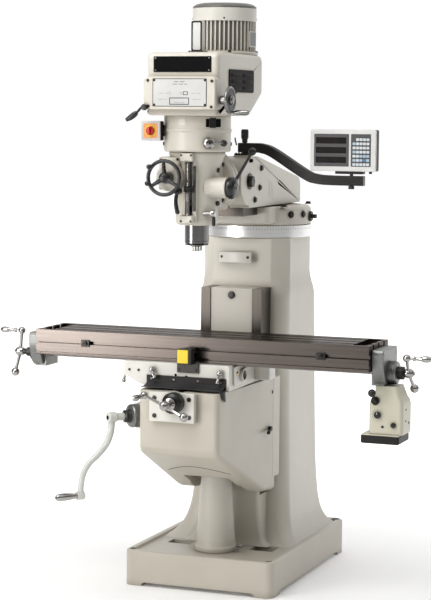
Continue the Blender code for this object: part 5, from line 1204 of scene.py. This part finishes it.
def under(y):
    for (ya, za), (yb, zb) in zip(kpts, kpts[1:]):
        if ya <= y <= yb:
            return za + (zb - za) * (y - ya) / max(1e-9, yb - ya)
    return kpts[-1][1]


def knee_w(y):
    t = (y - KNEE_Y0) / (0 - KNEE_Y0)
    return KNEE_WF + (KNEE_WR - KNEE_WF) * max(0.0, min(1.0, t)) ** 0.8


def knee_ring(y, d=0.0, rc=0.022):
    w = knee_w(y) - d
    z0 = under(min(max(y, KNEE_Y0), -GAP)) + d * 0.8
    z1 = KNEE_TOP - d * 0.25
    pts = round_poly([(w, z0), (w, z1), (-w, z1), (-w, z0)], [rc, 0.003, 0.003, rc], 7)
    return [(x, y, z) for x, z in pts]


ys = [KNEE_Y0 + 0.018, KNEE_Y0 + 0.03, -0.45, -0.42, -0.38, -0.34, -0.30, -0.26, -0.22, -0.18, -0.14, -0.11, -0.095, -0.085, -0.06, -0.03, -GAP]
kr = [knee_ring(KNEE_Y0 + y, d) for y, d in ((0.0, 0.016), (0.0014, 0.0105), (0.0045, 0.0052), (0.010, 0.0016))] + [knee_ring(y) for y in ys]
k = loft(kr)
KA = math.radians(40)
KAX = Vector((-math.sin(KA), -math.cos(KA), 0))
KC = Vector((0, SCREW_Y, 0.630))
kb = turned(round_profile([(0.0, 0.140), (0.092, 0.140), (0.078, 0.200), (0.0700, 0.240), (0.0580, 0.285), (0.0500, 0.300), (0.0450, 0.318), (0.0, 0.318)], 0.012, 6), KC, KAX, 64)
k = union(k, kb)
k = cut(k, prism([(-0.470, 0.675), (-0.470, 0.565), (-0.150, 0.395), (-0.150, 0.25), (-0.022, 0.25), (-0.022, 0.675)], "x", -0.100, 0.100),
        prism(round_poly([(-0.088, -0.240), (0.088, -0.240), (0.088, -0.060), (-0.088, -0.060)], 0.012), "z", 0.20, 0.50))
k = cut(k, cyl(KC + KAX * 0.03, KC + KAX * 0.40, 0.0128, 32))
k = cut(k, box(-0.020, 0.020, -0.60, -0.060, 0.695, 0.80))
# painted shade: the knee and its cheeks take the darker copy of the enamel
kk = [paint(k, "enamel_shaded_low")]
for sgn in (-1, 1):
    x0, x1 = sorted((sgn * (WAY_OUT + GAP), sgn * KNEE_WR))
    kk.append(paint(box(x0, x1, -0.02, 0.055, 0.374, KNEE_TOP, 0.004), "enamel_shaded_low"))
    # ground top ways
    a, b = sorted((sgn * 0.060, sgn * 0.132))
    kk.append(paint(box(a, b, KNEE_Y0 + 0.012, -0.012, KNEE_TOP - 0.006, KNEE_TOP - 0.0001, 0.0012, 2), "way"))
# seam of the bolted-on bottom cover
seam = []
arc_pts = []
for i in range(25):
    t_ = i / 24
    x = -0.118 + 0.236 * t_
    y = -0.300 - 0.062 * math.sin(math.pi * t_)
    arc_pts.append(Vector((x, y, under(y) - 0.0002)))
seam.append(paint(sweep(arc_pts, 0.0011, 8, False), "ink"))
# lock lever for the knee on the right side, a small round stud near the way
lk = [paint(cyl((knee_w(-0.060) - 0.004, -0.055, 0.560), (knee_w(-0.060) + 0.012, -0.055, 0.560), 0.009, 32, b=0.0012), "oxide"),
      paint(sweep([(knee_w(-0.06) + 0.008, -0.055, 0.560), (knee_w(-0.06) + 0.013, -0.072, 0.557), (knee_w(-0.06) + 0.015, -0.098, 0.553)], lambda s: 0.0036 + 0.0016 * s, 16), "oxide"),
      paint(ball((knee_w(-0.06) + 0.015, -0.100, 0.5527), 0.0070, 20, 12), "oxide"),
      paint(cyl((knee_w(-0.060) - 0.004, -0.025, 0.690), (knee_w(-0.060) + 0.004, -0.025, 0.690), 0.0055, 24, b=0.001), "oxide")]
piece(join(*(kk + seam + lk)), "knee_visual", "knee", None, "knee")

cb = prism(round_poly([(-0.096, 0.640), (0.070, 0.640), (0.070, 0.742), (-0.096, 0.742)], 0.004), "y", -0.532, KNEE_Y0 - GAP, 0.0022)
cb = cut(cb, cyl((0, -0.60, 0.710), (0, -0.45, 0.710), 0.0108, 32))
cbp = [paint(cb, "enamel_lt")]
for x, z in ((-0.076, 0.722), (0.052, 0.722), (-0.076, 0.660), (0.052, 0.660)):
    cbp.append(socket_screw((x, -0.5322, z), (0, -1, 0), 0.0078, 0.0020))
cbp.append(paint(cyl((0, -0.5325, 0.710), (0, -0.5310, 0.710), 0.0395, 56, b=0.0004), "enamel_lt"))
piece(join(*cbp), "cross_bracket_visual", "knee", None, "cross_feed_bracket")

# elevating screw: trapezoidal thread as stacked rings, plain bevel-gear blank
prof = [(0.0, 0.187), (0.0205, 0.187)]
z = 0.197
while z < 0.648:
    prof += [(0.0220, z), (0.0220, z + 0.0016), (0.0200, z + 0.0024), (0.0200, z + 0.0036)]
    z += 0.0050
prof += [(0.0220, 0.649), (0.0220, 0.652), (0.0155, 0.652), (0.0155, 0.692), (0.0, 0.692)]
esp = [paint(turned(prof, (0, SCREW_Y, 0), (0, 0, 1), 36), "steel"), paint(lathe([(0.0, 0.6525), (0.0425, 0.6525), (0.0425, 0.660), (0.030, 0.670), (0.0, 0.670)], (0, SCREW_Y, 0), (0, 0, 1), 56, 0.001), "steel")]
piece(join(*esp), "elevating_screw_visual", "elevating_screw", None, "elevating_screw")

kc = [paint(lathe([(0.0, 0.046), (0.0125, 0.046), (0.0125, 0.3185), (0.0, 0.3185)], KC, KAX, 32), "steel"),
      paint(lathe([(0.0, 0.0455), (0.016, 0.0455), (0.0220, 0.062), (0.0220, 0.070), (0.0, 0.070)], KC, KAX, 40), "steel"),
      paint(lathe([(0.0, 0.3187), (0.0405, 0.3187), (0.0415, 0.3200), (0.0415, 0.3460), (0.0385, 0.3505), (0.0255, 0.3540), (0.0, 0.3540)], KC, KAX, 72, 0.0012), "castgrey"),
      paint(lathe([(0.0, 0.352), (0.0245, 0.352), (0.0245, 0.3585), (0.0225, 0.3600), (0.0225, 0.3715), (0.0150, 0.3770), (0.0, 0.3770)], KC, KAX, 48, 0.0012), "black"),
      paint(lathe([(0.0, 0.374), (0.0140, 0.374), (0.0140, 0.4040), (0.0178, 0.4060), (0.0190, 0.4100), (0.0190, 0.4330), (0.0165, 0.4370), (0.0, 0.4370)], KC, KAX, 48, 0.002), "crank"),
      ticks(KC, KAX, 0.0415, 0.335, 0.3445, 60, 5, 0.00045)]
for i in range(14):
    a = 2 * math.pi * i / 14
    T = frame_of(KAX)
    d = (T @ Vector((math.cos(a), math.sin(a), 0)))
    kc.append(paint(cyl(KC + KAX * 0.3225 + d * 0.0408, KC + KAX * 0.3300 + d * 0.0408, 0.0022, 10), "castgrey"))
hub = KC + KAX * 0.422
arm = [hub, hub + Vector((0, 0, -0.030)) + KAX * 0.001, hub + Vector((0, 0, -0.060)) + KAX * 0.006, hub + Vector((0, 0, -0.095)) + KAX * 0.022, hub + Vector((0, 0, -0.130)) + KAX * 0.055,
       hub + Vector((0, 0, -0.155)) + KAX * 0.085, hub + Vector((0, 0, -0.185)) + KAX * 0.106, hub + Vector((0, 0, -0.225)) + KAX * 0.117, hub + Vector((0, 0, -0.268)) + KAX * 0.120]
kc.append(paint(sweep(arm, lambda s: 0.0130 - 0.0030 * s, 24, True, 6), "crank"))
kc.append(paint(cyl(arm[-1] - KAX * 0.014, arm[-1] + KAX * 0.014, 0.0150, 40, b=0.003), "crank"))
kc.append(paint(cyl(arm[-1], arm[-1] + KAX * 0.096, 0.0045, 20), "steel"))
# painted shade: a near-black disc in the end of the hub
kc.append(paint(cyl(hub + KAX * 0.0145, hub + KAX * 0.0170, 0.0075, 24, b=0.0006), "hole_shade"))
piece(join(*kc), "knee_crank_visual", "knee_crank", None, "knee_crank")
kg = turned([(0.0052, 0.0153), (0.0100, 0.0153), (0.0106, 0.0165), (0.0094, 0.0200), (0.0096, 0.024), (0.0118, 0.040), (0.0135, 0.060), (0.0134, 0.074), (0.0118, 0.086), (0.0085, 0.0915), (0.0052, 0.092)], arm[-1], KAX, 40, None, True)
piece(kg, "knee_grip_visual", "knee_crank_grip", "chrome", "knee_crank_grip")

# cross-feed screw and ball crank
CX = Vector((0, -0.532 - GAP, 0.710))
prof = [(0.0, 0.0)]
y = 0.0
prof += [(0.0105, 0.0), (0.0105, 0.075)]
y = 0.077
while y < 0.440:
    prof += [(0.0105, y), (0.0105, y + 0.0016), (0.0090, y + 0.0024), (0.0090, y + 0.0036)]
    y += 0.0050
prof += [(0.0105, 0.4445), (0.0, 0.4465)]
piece(turned(prof, (0, -0.5315, 0.710), (0, 1, 0), 28), "cross_screw_visual", "cross_feed", "steel", "cross_feed_screw")
cc = [paint(lathe([(0.0, 0), (0.0350, 0), (0.0362, 0.0012), (0.0362, 0.0300), (0.0340, 0.0350), (0.0240, 0.0410), (0.0, 0.0420)], CX, (0, -1, 0), 72, 0.0012), "dial"),
      paint(lathe([(0.0, 0.040), (0.0222, 0.040), (0.0222, 0.0550), (0.0130, 0.0590), (0.0, 0.0600)], CX, (0, -1, 0), 48, 0.002), "chrome"),
      paint(cyl(CX + Vector((0, -0.058, 0)), CX + Vector((0, -0.090, 0)), 0.0115, 32), "chrome"), ticks(CX, (0, -1, 0), 0.0362, 0.014, 0.0260, 50, 5, 0.00045)]
ca = math.radians(24.5)
cc.append(ball_crank((0, -0.625, 0.710), (0, -1, 0), (-math.cos(ca), 0, math.sin(ca)), 0.080))
piece(join(*cc), "cross_crank_visual", "cross_feed", None, "cross_feed_crank")

# ================================================================== SADDLE
sd = box(SADDLE_X0, SADDLE_X1, SADDLE_Y0, SADDLE_Y1, SADDLE_Z0, SADDLE_Z1 - GAP)
sd = cut(sd, prism([(SADDLE_X0 - 0.01, 0.73), (SADDLE_X0 - 0.01, 0.779), (SADDLE_X0 + 0.020, 0.774), (-0.185, 0.757), (-0.160, 0.747), (-0.148, 0.73)], "y", -0.5, 0.0))
sd = soften(sd, 0.005, 4, 20)
rear = soften(box(SADDLE_X0, 0.215, -0.175, -0.110, SADDLE_Z0 + 0.010, SADDLE_Z1 - GAP), 0.005, 3)
sd = union(sd, rear)
sd = cut(sd, box(-0.3, 0.3, -0.305, -0.260, 0.782, 0.90), box(-0.022, 0.022, -0.5, 0.0, 0.70, 0.745))
sp2 = [paint(sd, "enamel_lt")]
# right end cap with its bore, whose floor is a near-black disc of painted shade, oil fitting, screws and sight holes on
# the front as near-black discs of painted shade
cap = prism(round_poly([(-0.395, 0.757), (-0.310, 0.757), (-0.310, 0.826), (-0.395, 0.826)], 0.012), "x", 0.158, 0.1660, 0.003)
sp2.append(paint(cap, "enamel_lt"))
sp2.append(paint(lathe([(0.0, -0.012), (0.0205, -0.012), (0.0205, 0.0), (0.0235, 0.0), (0.0235, 0.010), (0.0180, 0.0105), (0.0180, 0.001), (0.0, 0.001)], (0.1665, -0.322, 0.790), (1, 0, 0), 48, 0.0008), "enamel_lt"))
sp2.append(paint(cyl((0.1672, -0.322, 0.790), (0.1682, -0.322, 0.790), 0.0178, 36), "hole_shade"))
sp2.append(paint(lathe([(0.0, -0.002), (0.0062, -0.002), (0.0062, 0.003), (0.0040, 0.0045), (0.0, 0.0065)], (0.1655, -0.372, 0.800), (1, 0, 0), 24, 0.001), "brass"))
for x, z in ((-0.125, 0.778), (-0.100, 0.783), (0.0, 0.786), (0.055, 0.781), (-0.040, 0.790)):
    sp2.append(paint(cyl((x, SADDLE_Y0 - 0.0006, z), (x, SADDLE_Y0 + 0.002, z), 0.0046, 24, b=0.0003), "hole_shade"))
for x in (-0.215, -0.180):
    sp2.append(socket_screw((x, SADDLE_Y0 - 0.0002, 0.800), (0, -1, 0), 0.0046, 0.0018))
piece(join(*sp2), "saddle_visual", "saddle", None, "saddle")

# wiper plate and the flexible apron that hangs in front of the cross ways
ww = [paint(prism(round_poly([(-0.148, 0.746), (0.148, 0.746), (0.148, 0.786), (-0.148, 0.786)], 0.002), "y", SADDLE_Y0 - 0.0045, SADDLE_Y0 - GAP, 0.0006, 2), "blacksat")]
for x in (-0.130, -0.045, 0.045, 0.130):
    ww.append(countersunk((x, SADDLE_Y0 - 0.0044, 0.773), (0, -1, 0), 0.0035, "steel"))
secs = []
for i in range(17):
    t_ = i / 16
    y = SADDLE_Y0 - 0.0040 - 0.058 * t_
    z = 0.7610 - 0.0135 * math.sin(math.pi * 0.5 * min(1, t_ * 1.6)) + 0.0030 * t_
    z = max(z, KNEE_TOP + 0.0040)
    secs.append([(-0.146, y, z), (-0.146, y, z + 0.0022), (0.146, y, z + 0.0022), (0.146, y, z)])
ww.append(paint(loft(secs), "rubber"))
# curled corner at the right, where the apron turns down over the knee's edge
secs = []
for i in range(13):
    t_ = i / 12
    y = SADDLE_Y0 - 0.006 - 0.054 * t_
    x1 = 0.146 + 0.010 * math.sin(math.pi * t_)
    drop = 0.036 * math.sin(math.pi * min(1.0, 0.15 + 0.85 * t_)) ** 0.8
    secs.append([(0.070, y, 0.7480), (0.070, y, 0.7502), (0.118, y, 0.7500), (x1, y - 0.0, 0.7490 - 0.15 * drop), (x1 + 0.002, y, 0.7470 - drop), (x1, y, 0.7465 - drop), (x1 - 0.003, y, 0.7470), (0.118, y, 0.7478)])
ww.append(paint(loft(secs), "rubber"))
piece(join(*ww), "way_wiper_visual", "saddle", None, "way_wiper")

st = [paint(prism(round_poly([(-0.033, 0.800), (0.048, 0.800), (0.048, 0.842), (-0.033, 0.842)], 0.002), "y", SADDLE_Y0 - 0.006, SADDLE_Y0 - GAP, 0.0008, 2), "oxide"),
      paint(box(-0.022, 0.030, SADDLE_Y0 - 0.030, SADDLE_Y0 - 0.003, 0.832, 0.886, 0.002), "blacksat"),
      paint(box(-0.016, 0.024, SADDLE_Y0 - 0.010, TABLE_Y0 - 0.0015, 0.868, 0.8845, 0.001, 2), "oxide"),
      paint(box(-0.0215, 0.0180, SADDLE_Y0 - 0.0320, SADDLE_Y0 - 0.0290, 0.836, 0.882, 0.0008, 2), "yellow")]
for x in (-0.024, 0.038):
    st.append(countersunk((x, SADDLE_Y0 - 0.006, 0.812), (0, -1, 0), 0.0052, "dial"))
piece(join(*st), "stop_bracket_visual", "saddle", None, "stop_bracket")


def lock(pivot, axis, tip, name, node, body, out=0.020):
    p, a, t = Vector(pivot), Vector(axis), Vector(tip)
    q = p + a * (out - 0.008)
    o = [cyl(p - a * 0.022, p + a * 0.003, 0.0058, 20), lathe([(0.0, 0.001), (0.0098, 0.001), (0.0108, 0.006), (0.0098, out - 0.003), (0.006, out + 0.002), (0.0, out + 0.003)], p, a, 36, 0.003),
         sweep([q, q.lerp(t, 0.5) + a * 0.002, t], lambda s: 0.0052 - 0.0008 * s, 18), ball(t, 0.0078, 24, 14)]
    piece(join(*[paint(x, "chrome") for x in o]), name, body, None, node)


lock((-0.125, SADDLE_Y0, 0.806), (0, -1, 0), (-0.112, SADDLE_Y0 - 0.020, 0.780), "table_lock_left_visual", "table_lock_lever_left", "table_lock_left")
lock((0.128, SADDLE_Y0, 0.806), (0, -1, 0), (0.123, SADDLE_Y0 - 0.020, 0.774), "table_lock_right_visual", "table_lock_lever_right", "table_lock_right")
lock((SADDLE_X0, -0.365, 0.800), (-1, 0, 0), (SADDLE_X0 - 0.022, -0.380, 0.752), "saddle_lock_visual", "saddle_lock_lever", "saddle_lock")

# ================================================================== TABLE
TX0, TX1, TY1, TB = TABLE_CX - TABLE_L / 2, TABLE_CX + TABLE_L / 2, TABLE_Y0 + TABLE_W, TABLE_TOP - TABLE_T
tb = box(TX0, TX1, TABLE_Y0, TY1, TB, TABLE_TOP, 0.0014, 2)
for i in (-1, 0, 1):
    y = TABLE_CY + i * SLOT_PITCH
    tb = cut(tb, box(TX0 - 0.02, TX1 + 0.02, y - SLOT_W / 2, y + SLOT_W / 2, TABLE_TOP - SLOT_D, TABLE_TOP + 0.02))
    tb = cut(tb, box(TX0 - 0.02, TX1 + 0.02, y - 0.014, y + 0.014, TABLE_TOP - SLOT_D - 0.0005, TABLE_TOP - 0.018))
for x in (TX0 + 0.014, TX1 - 0.064):
    tb = cut(tb, prism(round_poly([(x, TABLE_Y0 + 0.016), (x + 0.050, TABLE_Y0 + 0.016), (x + 0.050, TY1 - 0.016), (x, TY1 - 0.016)], 0.008), "z", TABLE_TOP - 0.014, TABLE_TOP + 0.02))
# narrow coolant gutters along both long edges
for y in (TABLE_Y0 + 0.019, TY1 - 0.019):
    tb = cut(tb, box(TX0 + 0.040, TX1 - 0.040, y - 0.0045, y + 0.0045, TABLE_TOP - 0.008, TABLE_TOP + 0.02))
tb = cut(tb, box(TX0 - 0.02, TX1 + 0.02, TABLE_Y0 - 0.02, TABLE_Y0 + 0.013, 0.8735, 0.8865), box(TX0 - 0.02, TX1 + 0.02, TABLE_Y0 + 0.006, TABLE_Y0 + 0.0148, 0.868, 0.892),
         box(TX0 - 0.02, TX1 + 0.02, TABLE_Y0 - 0.02, TABLE_Y0 + 0.008, 0.841, 0.850), box(TX0 - 0.02, TX1 + 0.02, TABLE_CY - 0.034, TABLE_CY + 0.034, TB - 0.02, TB + 0.026))
tp2 = [paint(tb, "tabletop")]
piece(join(*tp2), "table_visual", "table", None, "table", 25)
sdg = []
for x, z in ((-0.400, 0.874), (0.478, 0.879)):
    z = 0.879
    sdg.append(paint(box(x - 0.016, x + 0.016, TABLE_Y0 - 0.0055, TABLE_Y0 + 0.004, 0.8665, 0.8915, 0.0014, 2), "oxide"))
    sdg.append(socket_screw((x, TABLE_Y0 - 0.0052, z), (0, -1, 0), 0.0072, 0.0075))
piece(join(*sdg), "table_stops", "table")


def bracket(x0, x1):
    pts = [(-0.362, 0.905), (-0.368, 0.895), (-0.368, 0.850), (-0.345, 0.795), (-0.325, 0.782), (-0.240, 0.782), (-0.220, 0.795), (-0.197, 0.850), (-0.197, 0.895), (-0.203, 0.905)]
    return prism(round_poly(pts, [0.004, 0.008, 0.016, 0.012, 0.010, 0.010, 0.012, 0.016, 0.008, 0.004], 5), "x", x0, x1, 0.003)


for side_, x0, x1, t0, t1, out in (("left", TX0 - 0.0420, TX0 - GAP, TX0 - 0.036, TX0 + 0.010, -1), ("right", TX1 + GAP, TX1 + 0.0420, TX1 - 0.010, TX1 + 0.036, 1)):
    eb = [paint(bracket(x0, x1), "castgrey"), paint(box(t0, t1, -0.330, -0.235, 0.7800, TB - GAP, 0.002, 2), "castgrey")]
    xo = x0 if out < 0 else x1
    eb.append(paint(cyl((xo - out * 0.004, TABLE_CY, XCRANK_Z), (xo, TABLE_CY, XCRANK_Z), 0.0385, 64, b=0.001), "castgrey"))
    for y, z in ((-0.350, 0.885), (-0.215, 0.885), (-0.345, 0.852), (-0.220, 0.852)):
        eb.append(socket_screw((xo - out * 0.0012, y, z), (out, 0, 0), 0.0062, 0.0012))
    piece(join(*eb), "end_bracket_%s_visual" % side_, "table", None, "end_bracket_" + side_)
prof = [(0.0, 0.0), (0.0105, 0.0), (0.0105, 0.055)]
x = 0.057
L_ = TX1 - TX0 + 0.083
while x < L_ - 0.060:
    prof += [(0.0105, x), (0.0105, x + 0.0016), (0.0090, x + 0.0024), (0.0090, x + 0.0036)]
    x += 0.0050
prof += [(0.0105, L_ - 0.055), (0.0105, L_), (0.0, L_)]
piece(turned(prof, (TX0 - 0.0415, TABLE_CY, XCRANK_Z), (1, 0, 0), 24), "x_screw_visual", "x_screw", "steel", "x_leadscrew")

tl = math.radians(20)
lx = TX0 - 0.0420 - GAP
lc = [paint(lathe([(0.0, 0), (0.0300, 0), (0.0312, 0.0012), (0.0312, 0.0215), (0.0290, 0.0260), (0.0180, 0.0310), (0.0, 0.0320)], (lx, TABLE_CY, XCRANK_Z), (-1, 0, 0), 64, 0.0012), "dial"),
      paint(lathe([(0.0, 0.030), (0.0165, 0.030), (0.0165, 0.0470), (0.0110, 0.0500), (0.0110, 0.070), (0.0, 0.070)], (lx, TABLE_CY, XCRANK_Z), (-1, 0, 0), 40, 0.0015), "oxide"),
      ticks((lx, TABLE_CY, XCRANK_Z), (-1, 0, 0), 0.0312, 0.010, 0.0190, 50, 5, 0.0004)]
lc.append(ball_crank((lx - 0.078, TABLE_CY, XCRANK_Z), (-1, 0, 0), (0, math.sin(tl), math.cos(tl)), 0.078))
piece(join(*lc), "ball_crank_left_visual", "x_screw", None, "ball_crank_left")
tr = math.radians(42)
rx = TX1 + 0.0420 + GAP
rprof = [(0.0, 0.0), (0.0392, 0.0)]
for i in range(4):
    h = 0.0010 + 0.0052 * i
    rprof += [(0.0402, h), (0.0402, h + 0.0030), (0.0380, h + 0.0036), (0.0380, h + 0.0046)]
rprof += [(0.0395, 0.0218), (0.0362, 0.0275), (0.0240, 0.0290), (0.0, 0.0290)]
rc = [paint(turned(rprof, (rx, TABLE_CY, XCRANK_Z), (1, 0, 0), 72), "castgrey"),
      paint(lathe([(0.0, 0.028), (0.0222, 0.028), (0.0222, 0.0485), (0.0120, 0.0520), (0.0110, 0.0560), (0.0, 0.0560)], (rx, TABLE_CY, XCRANK_Z), (1, 0, 0), 48, 0.0015), "blacksat")]
rc.append(ball_crank((rx + 0.066, TABLE_CY, XCRANK_Z), (1, 0, 0), (0, -math.sin(tr), math.cos(tr)), 0.078))
piece(join(*rc), "ball_crank_right_visual", "x_screw", None, "ball_crank_right")

# ---- power feed
body = loft([rrect(0.692, -0.2825, 0.0600 - a, 0.0575 - b, 0.014, z, 6) for z, a, b in ((0.6148, 0.002, 0.002), (0.6170, 0.0005, 0.0005), (0.6300, 0.0, 0.0), (0.7150, 0.0, 0.0), (0.7300, 0.0030, 0.0030), (0.7400, 0.0100, 0.0060), (0.7600, 0.0170, 0.0100), (0.7790, 0.0225, 0.0150))])
body = cut(body, cyl((0.600, TABLE_CY, XCRANK_Z), (0.76, TABLE_CY, XCRANK_Z), 0.0412, 48))
yoke = cut(prism(round_poly([(-0.325, 0.735), (-0.240, 0.735), (-0.240, 0.7797), (-0.325, 0.7797)], 0.004), "x", 0.650, 0.7250, 0.003), cyl((0.600, TABLE_CY, XCRANK_Z), (0.76, TABLE_CY, XCRANK_Z), 0.0412, 48))
foot = box(0.607, 0.742, -0.348, -0.217, 0.583, 0.6135, 0.006, 4)
lip = box(0.609, 0.740, -0.346, -0.219, 0.6100, 0.6155, 0.0015, 2)
pfp = [paint(body, "cream"), paint(yoke, "cream"), paint(foot, "blacksat"), paint(lip, "cream")]
FYp = -0.3400
pfp.append(paint(cyl((0.655, FYp - 0.0016, 0.730), (0.655, FYp + 0.002, 0.730), 0.0150, 40, b=0.0005), "blacksat"))
pfp.append(paint(lathe([(0.0, 0.0), (0.0095, 0.0), (0.0088, 0.009), (0.0, 0.0100)], (0.720, FYp + 0.001, 0.650), (0, -1, 0), 32, 0.0015), "black"))
pfp.append(paint(cyl((0.682, FYp - 0.0022, 0.642), (0.682, FYp + 0.002, 0.642), 0.0045, 24, b=0.0005), "oxide"))
for k in range(11):
    a = math.radians(-135 + 27 * k)
    c_ = Vector((0.664 + 0.0185 * math.sin(a), FYp - 0.0002, 0.682 + 0.0185 * math.cos(a)))
    pfp.append(paint(ball(c_, 0.0011, 10, 6), "ink"))
for z in (0.700, 0.660):
    pfp.append(countersunk((0.7519, -0.300, z), (1, 0, 0), 0.0036))
pfp.append(countersunk((0.7519, -0.262, 0.650), (1, 0, 0), 0.0050))
piece(join(*pfp), "power_feed_visual", "table", None, "power_feed_unit")
pl = [paint(cyl((0.655, -0.350, 0.730), (0.655, -0.302, 0.730), 0.0055, 20), "oxide"), paint(sweep([(0.655, -0.346, 0.729), (0.655, -0.354, 0.739), (0.655, -0.366, 0.750), (0.655, -0.376, 0.758)], 0.0045, 16), "oxide"), paint(ball((0.655, -0.380, 0.761), 0.0135), "black")]
piece(join(*pl), "power_lever_visual", "power_feed_lever", None, "power_feed_lever")
pk = lathe([(0.0, -0.036), (0.0045, -0.036), (0.0045, 0), (0.0125, 0.0), (0.0125, 0.0030), (0.0112, 0.0045), (0.0108, 0.0098), (0.0, 0.0105)], (0.664, -0.3405, 0.682), (0, -1, 0), 36, 0.001)
pin_ = box(0.6630, 0.6650, -0.3515, -0.3505, 0.684, 0.692, 0.0002, 1)
piece(join(paint(pk, "black"), paint(pin_, "white")), "power_knob_visual", "power_feed_speed_knob", None, "power_feed_speed_knob")

# ================================================================== STUDIO
bm = bmesh.new()
bmesh.ops.create_grid(bm, x_segments=1, y_segments=1, size=30)
fl_ = bpy.data.objects.new("floor", bpy.data.meshes.new("floor"))
bm.to_mesh(fl_.data); bm.free()
COLL.objects.link(fl_)
m, nt, b = nodes_of("pale_floor")
b.inputs["Base Color"].default_value = (0.90, 0.90, 0.895, 1)
b.inputs["Roughness"].default_value = 0.75
b.inputs["Specular IOR Level"].default_value = 0.2
# painted light: the floor glows more the further back it lies, so floor and wall meet in one white
fc_ = nt.nodes.new("ShaderNodeTexCoord")
fv_ = nt.nodes.new("ShaderNodeSeparateXYZ")
nt.links.new(fc_.outputs["Object"], fv_.inputs[0])
fr_ = nt.nodes.new("ShaderNodeMapRange"); fr_.interpolation_type = "SMOOTHSTEP"
for k_, v_ in (("From Min", -0.3), ("From Max", 3.0), ("To Min", 0.09), ("To Max", 0.70)):
    fr_.inputs[k_].default_value = v_
nt.links.new(fv_.outputs["Y"], fr_.inputs["Value"])
b.inputs["Emission Color"].default_value = (1.0, 1.0, 1.0, 1)
nt.links.new(fr_.outputs["Result"], b.inputs["Emission Strength"])
fl_.data.materials.append(m)
fl_.location.z = -0.0004

w = bpy.data.worlds.new("studio")
bpy.context.scene.world = w
w.use_nodes = True
wn = w.node_tree
bg = wn.nodes["Background"]
bg.inputs["Strength"].default_value = 1.0
wc = wn.nodes.new("ShaderNodeTexCoord")
ws = wn.nodes.new("ShaderNodeSeparateXYZ")
wn.links.new(wc.outputs["Generated"], ws.inputs["Vector"])
# the booth: white behind the machine, a dimmer room in front of it with a bright ceiling
wz = ramp(wn, ws.outputs["Z"], [(0.0, (0.105, 0.098, 0.090)), (0.22, (0.14, 0.133, 0.124)), (0.55, (0.45, 0.45, 0.445)), (1.0, (0.80, 0.80, 0.80))])
wy = wn.nodes.new("ShaderNodeMapRange")
wy.interpolation_type = "SMOOTHSTEP"
for k_, v_ in (("From Min", 0.50), ("From Max", 0.84), ("To Min", 0.0), ("To Max", 1.0)):
    wy.inputs[k_].default_value = v_
wn.links.new(ws.outputs["Y"], wy.inputs["Value"])
wm = wn.nodes.new("ShaderNodeMix")
wm.data_type = "RGBA"
wn.links.new(wy.outputs["Result"], wm.inputs["Factor"])
wn.links.new(wz, wm.inputs["A"])
wm.inputs["B"].default_value = (1.0, 1.0, 1.0, 1)
wn.links.new(wm.outputs["Result"], bg.inputs["Color"])
bpy.context.scene.view_settings.view_transform = "Standard"


def sun(name, d, strength, angle, color=(1, 1, 1)):
    l = bpy.data.lights.new(name, "SUN")
    l.energy, l.color, l.angle = strength, color, math.radians(angle)
    o = bpy.data.objects.new(name, l)
    o.location = Vector(d) * 4
    o.rotation_euler = (-Vector(d)).to_track_quat("-Z", "Y").to_euler()
    COLL.objects.link(o)
    return o


def area(name, loc, target, size, power, color=(1, 1, 1), sy=None, spread=180):
    l = bpy.data.lights.new(name, "AREA")
    l.shape = "RECTANGLE"
    l.size, l.size_y = size, sy or size
    l.spread = math.radians(spread)
    l.energy, l.color = power, color
    o = bpy.data.objects.new(name, l)
    o.location = loc
    o.rotation_euler = (Vector(target) - Vector(loc)).to_track_quat("-Z", "Y").to_euler()
    COLL.objects.link(o)
    return o


area("key_softbox", (-2.3, -3.6, 2.85), (0, -0.2, 1.60), 1.9, 37, (1.0, 0.99, 0.975), 1.7)
area("low_softbox", (-2.5, -3.9, 0.95), (-0.25, -0.2, 1.05), 1.5, 7, (1.0, 0.985, 0.965), 1.0, 60)
area("overhead", (-0.8, -2.0, 3.7), (0, -0.1, 1.5), 1.8, 55, (1.0, 0.995, 0.985))
area("right_fill", (3.3, -2.2, 3.3), (0, 0, 1.6), 1.6, 2.5, (1.0, 0.985, 0.96))
sun("booth_roof", (0.05, -0.05, 1.0), 0.42, 80, (1.0, 1.0, 1.0))

cam = bpy.data.cameras.new("photo_camera")
cam.sensor_width = 36.0
cam.lens = 1936.09 / 600.0 * 36.0
cam.clip_start, cam.clip_end = 0.05, 200
co = bpy.data.objects.new("photo_camera", cam)
COLL.objects.link(co)
az, pit, rol = math.radians(21.2567), math.radians(5.4729), math.radians(0.4716)
fwd = Vector((-math.sin(az) * math.cos(pit), math.cos(az) * math.cos(pit), -math.sin(pit)))
right = Vector((math.cos(az), math.sin(az), 0.0))
up = right.cross(fwd)
r2 = right * math.cos(rol) + up * math.sin(rol)
u2 = r2.cross(fwd)
co.matrix_world = Matrix((( r2.x, u2.x, -fwd.x, 2.4858), (r2.y, u2.y, -fwd.y, -6.4953), (r2.z, u2.z, -fwd.z, 1.6915), (0, 0, 0, 1)))
bpy.context.scene.camera = co

bpy.context.view_layer.update()
